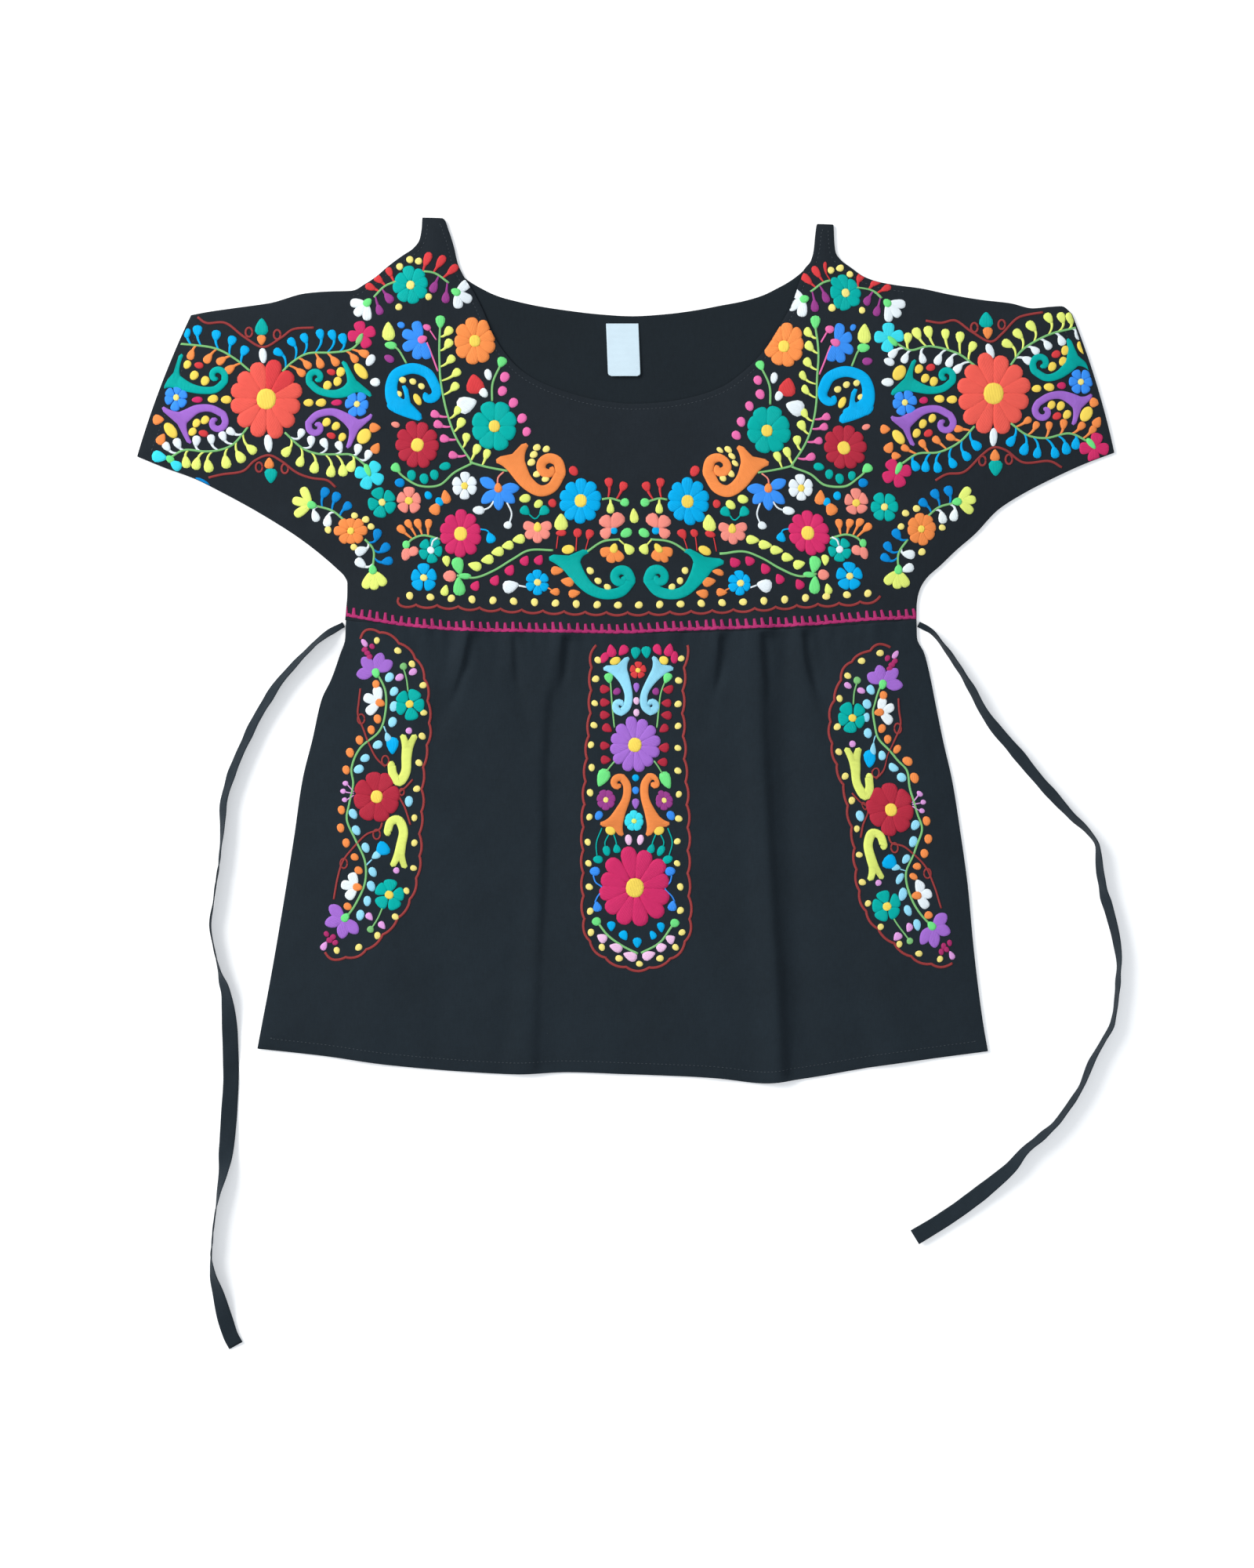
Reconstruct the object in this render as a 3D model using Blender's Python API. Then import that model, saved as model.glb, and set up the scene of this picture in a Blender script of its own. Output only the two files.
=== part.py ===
"""A short-sleeved blouse with open shoulders and side ties, laid flat on a surface with its front up.

Metres and +Z up once built; the sizes below are millimetres. +X runs along the sleeves, +Y to the neck.
The origin is on the surface, at the middle of the blouse's outline without its ties.
The back lies on the surface and the front lies on the back, 0.3 mm apart where they are sewn.
"""

import bpy
import numpy as np

MM = 0.001

# Cloth and seams
CLOTH = 1.2
SEAM_GAP = 0.3
FRONT_BASE = CLOTH + SEAM_GAP

# The front stands off the back by this much away from its edges
AIR = 3.4
AIR_REACH = 26.0

# Folds die away within this distance of a sewn edge. At the hem they stay open, but not at its corners
FOLD_HOLD = 12.0
OPEN_HEM_START = 270.0
OPEN_HEM_RUN = 40.0
HEM_CORNER_X = 283.0
HEM_CORNER_RUN = 30.0

# Waist seam, a shallow curve that is lowest at the middle
WAIST_LOW = 13.5
WAIST_RISE = 10.5
WAIST_HALF = 222.0

# The cuffs bow outwards by CUFF_BOW, and the bow dies away within this share of the half width
CUFF_BOW = 2.4
CUFF_SHARE = 1 / 16

TIE_WIDTH = 12.5
TIE_CLOTH = 1.0
TIE_STATIONS = 62
# At the side seam a tie is pleated to this share of its width, and is full this far on
TIE_ROOT_SHARE = 0.36
TIE_ROOT_RUN = 26.0
LABEL_CLOTH = 1.0

YOKE_STEPS = 2
FRONT_YOKE_ACROSS = 11
BACK_YOKE_ACROSS = 4
FRONT_SKIRT_GRID = (86, 14)
BACK_SKIRT_GRID = (22, 9)
# Sections lie closer together near the waist, where the side seams curve
SKIRT_CROWDING = 1.55

# One row for each section of the yoke and sleeves, from the left cuff to the right one.
# None puts the lower end on the waist seam.
YOKE_COLUMNS = ("lower_x", "lower_y", "front_x", "front_y", "back_x", "back_y")
YOKE_SECTIONS = (
    (-380, 151, -338, 261, -338, 261),
    (-358, 142, -325, 263.5, -325, 263.5),
    (-336, 134, -308, 266, -308, 266),
    (-313, 122.5, -293, 268, -293, 268),
    (-291, 110.6, -276, 270.5, -276, 270.5),
    (-259, 91, -249, 278, -249, 278),
    (-242.5, 79, -230, 279.5, -230, 279.5),
    (-226, 65, -213, 280, -213, 280),
    (-218.5, 57.5, -203, 285, -203, 285),
    (-216.3, 52, -194, 291, -194, 291),
    (-216.4, 43, -184, 299.5, -184, 299.5),
    (-217.2, 33, -173, 307.6, -173, 307.6),
    (-218, None, -165, 313, -165, 313),
    (-199, None, -160, 320, -160, 320),
    (-179, None, -158.4, 329, -158.4, 329),
    (-157.7, None, -157.7, 337, -157.7, 337),
    (-142.2, None, -142.2, 336.5, -142.2, 336.5),
    (-137, None, -137, 326, -137, 326),
    (-133, None, -133, 313, -133, 313),
    (-130.5, None, -130.5, 302, -130.5, 302),
    (-126, None, -126, 292, -126, 291.5),
    (-119, None, -119, 281, -119, 286),
    (-111, None, -111, 265.5, -111, 281.5),
    (-104, None, -104, 249, -104, 278),
    (-96, None, -96, 235, -96, 275),
    (-83, None, -83, 220, -83, 271.6),
    (-66, None, -66, 209, -66, 268),
    (-45, None, -45, 201, -45, 264.8),
    (-19, None, -19, 194.5, -19, 261.8),
    (6, None, 6, 192, 6, 260.4),
    (32, None, 32, 193.6, 32, 262),
    (55, None, 55, 198, 55, 265),
    (75, None, 75, 205, 75, 268.8),
    (91, None, 91, 216, 91, 271.8),
    (107, None, 107, 232, 107, 276.5),
    (118, None, 118, 249, 118, 281.8),
    (129, None, 129, 268, 129, 288),
    (139, None, 139, 296, 139, 296),
    (144.5, None, 144.5, 303, 144.5, 303),
    (147, None, 147, 312, 147, 312),
    (148.2, None, 148.2, 324, 148.2, 324),
    (149.8, None, 149.8, 332, 149.8, 332),
    (162.2, None, 162.2, 331.5, 162.2, 331.5),
    (180, None, 163, 318, 163, 318),
    (203, None, 164, 310, 164, 310),
    (227, None, 168, 304, 168, 304),
    (227, 33, 176, 298, 176, 298),
    (227.8, 41, 186, 291, 186, 291),
    (230.2, 49, 198, 286.8, 198, 286.8),
    (235.5, 57, 211, 284.4, 211, 284.4),
    (245.5, 66, 230, 281.9, 230, 281.9),
    (258, 78, 253, 277, 253, 277),
    (273, 91, 277, 273, 277, 273),
    (290, 109, 300, 270.3, 300, 270.3),
    (310, 122, 317, 266.3, 317, 266.3),
    (336.6, 135.6, 331, 267.5, 331, 267.5),
    (358, 145.3, 340, 268, 340, 268),
    (381, 154, 348, 262, 348, 262),
)

# One row for each section of the skirt, from the waist seam down
SKIRT_COLUMNS = ("height", "left_x", "right_x")
SKIRT_SECTIONS = (
    (23.5, -217.5, 227),
    (9.5, -218, 227.3),
    (-3, -222, 233),
    (-23, -229, 238),
    (-38, -236, 241),
    (-70, -243.5, 247.5),
    (-103, -251.5, 255),
    (-144, -257.5, 261.5),
    (-182, -263.5, 266.8),
    (-231, -271.7, 271.5),
    (-261, -277, 275),
    (-290, -282.5, 279),
    (-311, -286.4, 282.7),
)

HEM_COLUMNS = ("x", "y")
HEM = (
    (-287, -310),
    (-233, -316),
    (-183, -323),
    (-126, -328),
    (-84, -330),
    (-46, -328.5),
    (1.5, -330),
    (70, -333),
    (108, -337),
    (135, -334),
    (192, -324.5),
    (245.5, -317),
    (283.5, -312),
)

# Folds in the front. Each runs through three points; lean makes its right side the steeper one.
# start and finish are the shares of its height that it has at its two ends.
FOLD_COLUMNS = ("x0", "y0", "x1", "y1", "x2", "y2", "height", "half", "lean", "start", "finish")
FOLDS = (
    (-124, 16, -131, -16, -152, -60, 3.2, 9, 0.9, 1.0, 0.0),
    (-88, 16, -89, -8, -93, -32, 1.5, 8, 0.4, 1.0, 0.0),
    (-50, 14, -54, -20, -67, -58, 2.6, 9, 0.8, 1.0, 0.0),
    (-62, -78, -64, -190, -79, -326, 2.4, 17, 0.5, 0.0, 1.0),
    (74, 15, 71, -18, 64, -62, 2.5, 9, -0.7, 1.0, 0.0),
    (108, 16, 114, -125, 125, -334, 4.2, 14, -1.0, 1.0, 0.85),
    (138, 17, 144, -20, 158, -66, 2.8, 9, -0.8, 1.0, 0.0),
    (60, -200, 66, -265, 75, -331, 1.6, 13, -0.4, 0.0, 1.0),
    (-157, 18, -160, 2, -168, -26, 1.8, 8, 0.5, 1.0, 0.0),
    (196, 20, 203, 0, 214, -34, 1.8, 9, -0.5, 1.0, 0.0),
    (34, 13, 33, -12, 30, -44, 1.4, 8, 0.3, 1.0, 0.0),
    (-178, -150, -190, -230, -206, -318, 1.8, 22, 0.3, 0.0, 1.0),
    (196, -160, 204, -240, 216, -320, 1.8, 22, -0.3, 0.0, 1.0),
    (-264, 101, -250, 92, -237, 83, 2.2, 8, 0.9, 0.6, 0.3),
    (-300, 225, -262, 160, -232, 98, 2.0, 24, 0.3, 0.2, 0.5),
    (272, 106, 256, 96, 243, 86, 2.0, 8, -0.8, 0.5, 0.3),
    (312, 232, 276, 168, 243, 104, 2.0, 24, -0.3, 0.2, 0.5),
    (-185, 268, -196, 190, -205, 96, 1.6, 20, 0.3, 0.4, 0.6),
    (192, 262, 203, 190, 213, 98, 1.6, 20, -0.3, 0.4, 0.6),
)

# Ties, from the side seam to the free end. turn is how far the flat tie is rolled about its own line.
TIE_COLUMNS = ("x", "y", "turn")
LEFT_TIE = (
    (-219.2, 20.2, 8),
    (-225.6, 16.6, 30),
    (-233.3, 11.8, 60),
    (-248, -1.6, 66),
    (-259.6, -13.8, 60),
    (-270.5, -26.7, 55),
    (-277.9, -38.2, 52),
    (-287.6, -54.7, 50),
    (-294.9, -70, 52),
    (-302.3, -86.4, 54),
    (-309, -105.3, 54),
    (-312.6, -121.8, 58),
    (-313.2, -138.9, 66),
    (-314.4, -153.5, 78),
    (-316.9, -174.3, 83),
    (-319.9, -195, 86),
    (-322.4, -213.3, 86),
    (-319.9, -230.4, 84),
    (-315.7, -248.1, 72),
    (-309.6, -272.5, 34),
    (-307.7, -301.2, 8),
    (-307.1, -331.7, 0),
    (-308.4, -357.9, 2),
    (-310.2, -384.1, 14),
    (-312.6, -405.5, 44),
    (-316.3, -423.2, 74),
    (-318.7, -438.4, 84),
    (-320.6, -455.5, 85),
    (-321.8, -468.9, 80),
    (-320.6, -484.2, 62),
    (-316.3, -501.2, 34),
    (-312, -518.9, 14),
    (-307.1, -534.2, 6),
    (-303.2, -541.4, 6),
)
RIGHT_TIE = (
    (228.6, 20.4, 8),
    (232.8, 18.2, 32),
    (238.2, 14.8, 66),
    (246.7, 4.5, 82),
    (257.1, -10.2, 76),
    (269.9, -30.9, 70),
    (277.9, -46.2, 64),
    (288.2, -60.8, 56),
    (303.5, -78.5, 50),
    (319.9, -98.6, 54),
    (334.6, -115.1, 56),
    (347.4, -129.1, 68),
    (360.2, -141.3, 78),
    (367.5, -152.9, 82),
    (368.7, -167.6, 72),
    (372.4, -188.9, 66),
    (377.9, -207.8, 62),
    (382.2, -226.7, 70),
    (384, -243.2, 80),
    (382.8, -262.1, 85),
    (379.1, -289.6, 84),
    (372.4, -302.4, 83),
    (362.6, -320, 80),
    (354.1, -340.2, 80),
    (343.7, -356.1, 79),
    (334.6, -368.2, 77),
    (322.4, -379.2, 74),
    (310.8, -389, 66),
    (300.4, -401.8, 52),
    (287.6, -413.4, 36),
    (271.7, -426.2, 28),
    (257.7, -436.6, 22),
    (243.1, -446.3, 20),
    (225.6, -456.9, 18),
)

# Neck label: the corners it covers, and how far its loose lower end lifts
LABEL_TOP = 254.5
LABEL_FOOT = 213.4
LABEL_HALF = 12.6
LABEL_MIDDLE = -1.4
LABEL_LIFT = 1.4
LABEL_GRID = (5, 9)

COLOURS = {
    "black_cotton": ((0.021, 0.025, 0.031, 1.0), 0.85),
    "label_tape": ((0.82, 0.84, 0.84, 1.0), 0.5),
}


def column(table, names, name):
    """One named column of a table."""
    return np.array([row[names.index(name)] for row in table], float)


def waist(x):
    """Height of the waist seam at x."""
    return WAIST_LOW + WAIST_RISE * (x / WAIST_HALF) ** 2


def slopes(t, v):
    """Slopes that carry a smooth curve through points and never past them."""
    h = np.diff(t)
    d = np.diff(v) / h
    inner = np.zeros(len(v))
    same = d[:-1] * d[1:] > 0
    w0 = 2 * h[1:] + h[:-1]
    w1 = h[1:] + 2 * h[:-1]
    mean = (w0 + w1) / (w0 / np.where(same, d[:-1], 1) + w1 / np.where(same, d[1:], 1))
    inner[1:-1] = np.where(same, mean, 0)
    inner[0] = d[0]
    inner[-1] = d[-1]
    return inner


def smooth(t, v, at):
    """The smooth curve through the points (t, v), read at the places asked for."""
    m = slopes(t, v)
    i = np.clip(np.searchsorted(t, at, side="right") - 1, 0, len(t) - 2)
    h = t[i + 1] - t[i]
    s = (at - t[i]) / h
    rise = (1 + 2 * s) * (1 - s) ** 2 * v[i] + s * s * (3 - 2 * s) * v[i + 1]
    return rise + h * s * (1 - s) * ((1 - s) * m[i] - s * m[i + 1])


def yoke_edges(side, steps):
    """Lower and upper ends of the yoke's sections for its front or back, steps times finer than the table."""
    rows = np.arange(len(YOKE_SECTIONS), dtype=float)
    fine = np.linspace(0, rows[-1], (len(rows) - 1) * steps + 1)
    lower_x = column(YOKE_SECTIONS, YOKE_COLUMNS, "lower_x")
    listed = column(YOKE_SECTIONS, YOKE_COLUMNS, "lower_y")
    lower_y = np.where(np.isnan(listed), waist(lower_x), listed)
    seam = waist(lower_x) + SEAM_GAP / 2
    x0 = smooth(rows, lower_x, fine)
    y0 = smooth(rows, np.maximum(lower_y, seam), fine)
    on_waist = np.interp(fine, rows, np.isnan(listed).astype(float)) == 1
    y0 = np.where(on_waist, waist(x0) + SEAM_GAP / 2, y0)
    x1 = smooth(rows, column(YOKE_SECTIONS, YOKE_COLUMNS, side + "_x"), fine)
    y1 = smooth(rows, column(YOKE_SECTIONS, YOKE_COLUMNS, side + "_y"), fine)
    return x0, y0, x1, y1


def yoke_plan(side, across):
    """Plan of a yoke panel: each section is straight, and the two cuffs bow outwards a little."""
    x0, y0, x1, y1 = yoke_edges(side, YOKE_STEPS)
    share = np.linspace(0, 1, across)[None, :]
    x = x0[:, None] + (x1 - x0)[:, None] * share
    y = y0[:, None] + (y1 - y0)[:, None] * share
    place = np.linspace(-1, 1, len(x0))[:, None]
    at_cuff = np.clip((abs(place) - 1) / CUFF_SHARE + 1, 0, 1)
    return x + CUFF_BOW * 4 * share * (1 - share) * np.sign(place) * at_cuff, y


def skirt_plan(columns, rows):
    """Plan of a skirt panel: sections between the side seams that bend from the waist's curve to the hem's."""
    height = column(SKIRT_SECTIONS, SKIRT_COLUMNS, "height")
    down = (height[0] - height) / (height[0] - height[-1])
    share = np.linspace(0, 1, rows) ** SKIRT_CROWDING
    left = smooth(down, column(SKIRT_SECTIONS, SKIRT_COLUMNS, "left_x"), share)[:, None]
    right = smooth(down, column(SKIRT_SECTIONS, SKIRT_COLUMNS, "right_x"), share)[:, None]
    x = left + (right - left) * np.linspace(0, 1, columns)[None, :]
    foot = smooth(column(HEM, HEM_COLUMNS, "x"), column(HEM, HEM_COLUMNS, "y"), x)
    y = (1 - share[:, None]) * (waist(x) - SEAM_GAP / 2) + share[:, None] * foot
    return x, y


def front_outline():
    """Closed line round the whole front, as two arrays."""
    x0, y0, x1, y1 = yoke_edges("front", YOKE_STEPS)
    x, y = skirt_plan(*FRONT_SKIRT_GRID)
    arm = y0 > waist(x0) + SEAM_GAP
    left = arm & (x0 < 0)
    right = arm & (x0 > 0)
    runs = (
        (x0[left], y0[left]),
        (x[:, 0], y[:, 0]),
        (x[-1], y[-1]),
        (x[::-1, -1], y[::-1, -1]),
        (x0[right], y0[right]),
        (x1[::-1], y1[::-1]),
    )
    return np.concatenate([run[0] for run in runs]), np.concatenate([run[1] for run in runs])


def from_edge(x, y, outline):
    """Distance in the plan from each point to the nearest stretch of a closed line."""
    ax, ay = outline
    bx, by = np.roll(ax, -1), np.roll(ay, -1)
    px, py = x.reshape(-1, 1), y.reshape(-1, 1)
    run_x, run_y = bx - ax, by - ay
    long2 = np.maximum(run_x**2 + run_y**2, 1e-9)
    along = np.clip(((px - ax) * run_x + (py - ay) * run_y) / long2, 0, 1)
    gap = np.hypot(px - ax - along * run_x, py - ay - along * run_y)
    return gap.min(axis=1).reshape(x.shape)


def fold_height(x, y):
    """Sum of the folds. Each is a bell across its line, leant to one side, on a line bent at its middle."""
    total = np.zeros(x.shape)
    for row in FOLDS:
        f = dict(zip(FOLD_COLUMNS, row))
        knots = np.array([[f["x0"], f["y0"]], [f["x1"], f["y1"]], [f["x2"], f["y2"]]], float)
        nearest = np.full(x.shape, np.inf)
        side = np.zeros(x.shape)
        along = np.zeros(x.shape)
        for i, (a, b) in enumerate(zip(knots[:-1], knots[1:])):
            run = b - a
            t = np.clip(((x - a[0]) * run[0] + (y - a[1]) * run[1]) / (run @ run), 0, 1)
            dx = x - a[0] - t * run[0]
            dy = y - a[1] - t * run[1]
            gap = np.hypot(dx, dy)
            closer = gap < nearest
            cross = np.sign(dx * -run[1] + dy * run[0]) * np.sign(-run[1])
            side = np.where(closer, cross * gap, side)
            along = np.where(closer, (i + t) / 2, along)
            nearest = np.minimum(nearest, gap)
        share = f["start"] + (f["finish"] - f["start"]) * along
        share = share * share * (3 - 2 * share)
        bell = np.exp(-((side / f["half"]) ** 2))
        total += f["height"] * share * bell * (1 + f["lean"] * side / f["half"])
    return total


def front_height(x, y, outline):
    """Height of the front's lower side: it lies on the back at its edges and stands off it inside them."""
    inside = from_edge(x, y, outline)
    air = AIR * (1 - np.exp(-inside / AIR_REACH))
    near_edge = 1 - np.exp(-inside / FOLD_HOLD)
    open_hem = np.clip((-y - OPEN_HEM_START) / OPEN_HEM_RUN, 0, 1)
    off_corner = 1 - np.exp(-abs(abs(x) - HEM_CORNER_X) / HEM_CORNER_RUN)
    folds = fold_height(x, y) * np.maximum(near_edge, open_hem * off_corner)
    return FRONT_BASE + np.maximum(air + folds, 0.0)


def material(name):
    made = bpy.data.materials.get(name)
    if made:
        return made
    colour, roughness = COLOURS[name]
    made = bpy.data.materials.new(name)
    made.use_nodes = True
    shader = made.node_tree.nodes["Principled BSDF"]
    shader.inputs["Base Color"].default_value = colour
    shader.inputs["Roughness"].default_value = roughness
    shader.inputs["Metallic"].default_value = 0.0
    made.diffuse_color = colour
    return made


def add_object(name, points, faces, finish):
    mesh = bpy.data.meshes.new(name)
    mesh.from_pydata((points * MM).tolist(), [], faces)
    mesh.update()
    mesh.shade_smooth()
    mesh.set_sharp_from_angle(angle=np.radians(50))
    made = bpy.data.objects.new(name, mesh)
    made.data.materials.append(material(finish))
    bpy.context.scene.collection.objects.link(made)
    return made


def wall_from_grid(name, x, y, low, high, finish):
    """A closed wall over a grid of plan points, between two heights."""
    rows, columns = x.shape
    count = rows * columns
    points = np.concatenate(
        [np.stack([x, y, high], -1).reshape(-1, 3), np.stack([x, y, low], -1).reshape(-1, 3)]
    )
    at = np.arange(count).reshape(rows, columns)
    a, b, c, d = at[:-1, :-1], at[1:, :-1], at[1:, 1:], at[:-1, 1:]
    top = np.stack([a, b, c, d], -1).reshape(-1, 4)
    foot = top[:, ::-1] + count
    rim = np.concatenate([at[:, 0], at[-1, 1:], at[-2::-1, -1], at[0, -2:0:-1]])
    after = np.roll(rim, -1)
    edge = np.stack([after, rim, rim + count, after + count], -1)
    return add_object(name, points, np.concatenate([top, foot, edge]).tolist(), finish)


def add_yokes(outline):
    x, y = yoke_plan("front", FRONT_YOKE_ACROSS)
    low = front_height(x, y, outline)
    wall_from_grid("front_yoke", x, y, low, low + CLOTH, "black_cotton")
    x, y = yoke_plan("back", BACK_YOKE_ACROSS)
    flat = np.zeros(x.shape)
    wall_from_grid("back_yoke", x, y, flat, flat + CLOTH, "black_cotton")


def add_skirts(outline):
    x, y = skirt_plan(*FRONT_SKIRT_GRID)
    low = front_height(x, y, outline)
    wall_from_grid("front_skirt", x, y, low, low + CLOTH, "black_cotton")
    x, y = skirt_plan(*BACK_SKIRT_GRID)
    flat = np.zeros(x.shape)
    wall_from_grid("back_skirt", x, y, flat, flat + CLOTH, "black_cotton")


def tie_line(route):
    """Evenly spaced points on the smooth curve through a tie's route, with its turn and width at each."""
    x, y, turn = (column(route, TIE_COLUMNS, name) for name in TIE_COLUMNS)
    before = np.concatenate([[0], np.cumsum(np.hypot(np.diff(x), np.diff(y)))])
    at = np.linspace(0, before[-1], TIE_STATIONS)
    open_out = np.clip(at / TIE_ROOT_RUN, 0, 1)
    open_out = open_out * open_out * (3 - 2 * open_out)
    width = TIE_WIDTH * (TIE_ROOT_SHARE + (1 - TIE_ROOT_SHARE) * open_out)
    return smooth(before, x, at), smooth(before, y, at), np.radians(smooth(before, turn, at)), width


def add_tie(name, route):
    """A flat ribbon swept along its line and rolled about it, so that its lowest edge is on the surface."""
    x, y, turn, width = tie_line(route)
    way = np.stack([np.gradient(x), np.gradient(y)], -1)
    way /= np.linalg.norm(way, axis=1)[:, None]
    side_x, side_y = -way[:, 1], way[:, 0]
    middle = (width * abs(np.sin(turn)) + TIE_CLOTH * abs(np.cos(turn))) / 2
    corners = []
    for across, up in ((-1, -1), (1, -1), (1, 1), (-1, 1)):
        flat = across * width / 2 * np.cos(turn) - up * TIE_CLOTH / 2 * np.sin(turn)
        rise = across * width / 2 * np.sin(turn) + up * TIE_CLOTH / 2 * np.cos(turn)
        corners.append(np.stack([x + flat * side_x, y + flat * side_y, middle + rise], -1))
    ring = len(corners)
    points = np.stack(corners, 1).reshape(-1, 3)
    faces = []
    for i in range(TIE_STATIONS - 1):
        for k in range(ring):
            near, far = i * ring, (i + 1) * ring
            faces.append((near + k, near + (k + 1) % ring, far + (k + 1) % ring, far + k))
    faces.append(tuple(range(ring - 1, -1, -1)))
    faces.append(tuple(range((TIE_STATIONS - 1) * ring, TIE_STATIONS * ring)))
    return add_object(name, points, faces, "black_cotton")


def add_label():
    """A blank tape label sewn at its top edge, whose lower end lifts a little."""
    columns, rows = LABEL_GRID
    share = np.linspace(0, 1, rows)[:, None]
    x = LABEL_MIDDLE + LABEL_HALF * np.linspace(-1, 1, columns)[None, :] + 0 * share
    y = LABEL_TOP + (LABEL_FOOT - LABEL_TOP) * share + 0 * x
    low = FRONT_BASE + LABEL_LIFT * share**2 + 0 * x
    wall_from_grid("neck_label", x, y, low, low + LABEL_CLOTH, "label_tape")


def main():
    for old in list(bpy.data.objects):
        bpy.data.objects.remove(old, do_unlink=True)
    outline = front_outline()
    add_yokes(outline)
    add_skirts(outline)
    add_tie("left_tie", LEFT_TIE)
    add_tie("right_tie", RIGHT_TIE)
    add_label()


main()
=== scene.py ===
"""Looks of an embroidered blouse with open shoulders and side ties, laid flat with its front up.

Tables and working values are millimetres, in the model's frame: +X along the sleeves, +Y to the neck, +Z up.
"""

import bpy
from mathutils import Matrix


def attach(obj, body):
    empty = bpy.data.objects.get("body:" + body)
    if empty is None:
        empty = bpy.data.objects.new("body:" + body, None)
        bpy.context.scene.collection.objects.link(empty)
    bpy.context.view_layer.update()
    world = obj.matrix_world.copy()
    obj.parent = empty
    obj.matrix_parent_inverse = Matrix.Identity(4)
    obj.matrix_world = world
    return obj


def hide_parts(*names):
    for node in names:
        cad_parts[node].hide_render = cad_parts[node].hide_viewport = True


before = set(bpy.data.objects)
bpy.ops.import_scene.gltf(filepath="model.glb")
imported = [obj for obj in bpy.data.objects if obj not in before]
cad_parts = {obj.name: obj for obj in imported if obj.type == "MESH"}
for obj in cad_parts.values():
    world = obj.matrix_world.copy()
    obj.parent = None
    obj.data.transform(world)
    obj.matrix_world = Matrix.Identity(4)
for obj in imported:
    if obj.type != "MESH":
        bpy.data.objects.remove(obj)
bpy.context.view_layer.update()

from functools import lru_cache

import bpy
import numpy as np
from bpy.props import FloatProperty, FloatVectorProperty, PointerProperty
from mathutils import Vector

bl_info = {
    "name": "Embroidered cold shoulder blouse",
    "version": (1, 0, 0),
    "blender": (4, 5, 0),
    "location": "3D View > Sidebar > Blouse",
    "description": "Makes the cloth, ties, label and embroidery of a blouse that lies flat",
    "category": "Object",
}

MM = 0.001

# The laid blouse, as in its model
CLOTH = 1.2
SEAM_GAP = 0.3
WAIST_GAP = 0.04
FRONT_BASE = CLOTH + SEAM_GAP
AIR = 3.4
AIR_REACH = 26.0
FOLD_HOLD = 12.0
OPEN_HEM_START = 270.0
OPEN_HEM_RUN = 40.0
HEM_CORNER_X = 283.0
HEM_CORNER_RUN = 30.0
WAIST_LOW = 13.5
WAIST_RISE = 10.5
WAIST_HALF = 222.0
CUFF_BOW = 2.4
CUFF_SHARE = 1 / 16
TIE_WIDTH = 12.5
TIE_CLOTH = 1.0
TIE_STATIONS = 240
TIE_ROOT_SHARE = 0.36
TIE_ROOT_RUN = 26.0
SKIRT_CROWDING = 1.55
SKIRT_DRAWN_UP = 0.06
LABEL_TOP = 254.5
LABEL_FOOT = 213.4
LABEL_HALF = 12.6
LABEL_MIDDLE = -1.4
LABEL_LIFT = 1.4

# Fineness of the cloth's grids: steps to a row of the table, and points across
FRONT_YOKE_GRID = (5, 96)
BACK_YOKE_GRID = (4, 56)
FRONT_SKIRT_GRID = (290, 118)
BACK_SKIRT_GRID = (150, 70)
OUTLINE_GRID = (86, 14)
OUTLINE_STEPS = 2
MAP_STEP = 2.0
MAP_SPAN = ((-400.0, 402.0), (-352.0, 352.0))
RIM_LINES = (0.35, 1.0, 2.4)
RIM_BEVEL = 0.28
PARTS = 24

# The yoke's sections from the left cuff to the right one: x and y of the foot, then of the top. A foot with
# no height of its own is on the waist seam. A section of the body is upright: its x, its top at the front
# and, where that differs, at the back.
LEFT_ARM = (
    (-380, 151, -338, 261), (-358, 142, -325, 263.5), (-336, 134, -308, 266), (-313, 122.5, -293, 268),
    (-291, 110.6, -276, 270.5), (-259, 91, -249, 278), (-242.5, 79, -230, 279.5), (-226, 65, -213, 280),
    (-218.5, 57.5, -203, 285), (-216.3, 52, -194, 291), (-216.4, 43, -184, 299.5),
    (-217.2, 33, -173, 307.6), (-218, None, -165, 313), (-199, None, -160, 320), (-179, None, -158.4, 329),
)
YOKE_BODY = (
    (-157.7, 337), (-142.2, 336.5), (-137, 326), (-133, 313), (-130.5, 302), (-126, 292, 291.5),
    (-119, 281, 286), (-111, 265.5, 281.5), (-104, 249, 278), (-96, 235, 275), (-83, 220, 271.6),
    (-66, 209, 268), (-45, 201, 264.8), (-19, 194.5, 261.8), (6, 192, 260.4), (32, 193.6, 262),
    (55, 198, 265), (75, 205, 268.8), (91, 216, 271.8), (107, 232, 276.5), (118, 249, 281.8),
    (129, 268, 288), (139, 296), (144.5, 303), (147, 312), (148.2, 324), (149.8, 332), (162.2, 331.5),
)
RIGHT_ARM = (
    (180, None, 163, 318), (203, None, 164, 310), (227, None, 168, 304), (227, 33, 176, 298),
    (227.8, 41, 186, 291), (230.2, 49, 198, 286.8), (235.5, 57, 211, 284.4), (245.5, 66, 230, 281.9),
    (258, 78, 253, 277), (273, 91, 277, 273), (290, 109, 300, 270.3), (310, 122, 317, 266.3),
    (336.6, 135.6, 331, 267.5), (358, 145.3, 340, 268), (381, 154, 348, 262),
)
# The yoke's upper edge is open between these places: shoulder openings and neck
OPEN_TOPS = ((-213, -157.8), (-142.1, 149.7), (162.3, 230))

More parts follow.
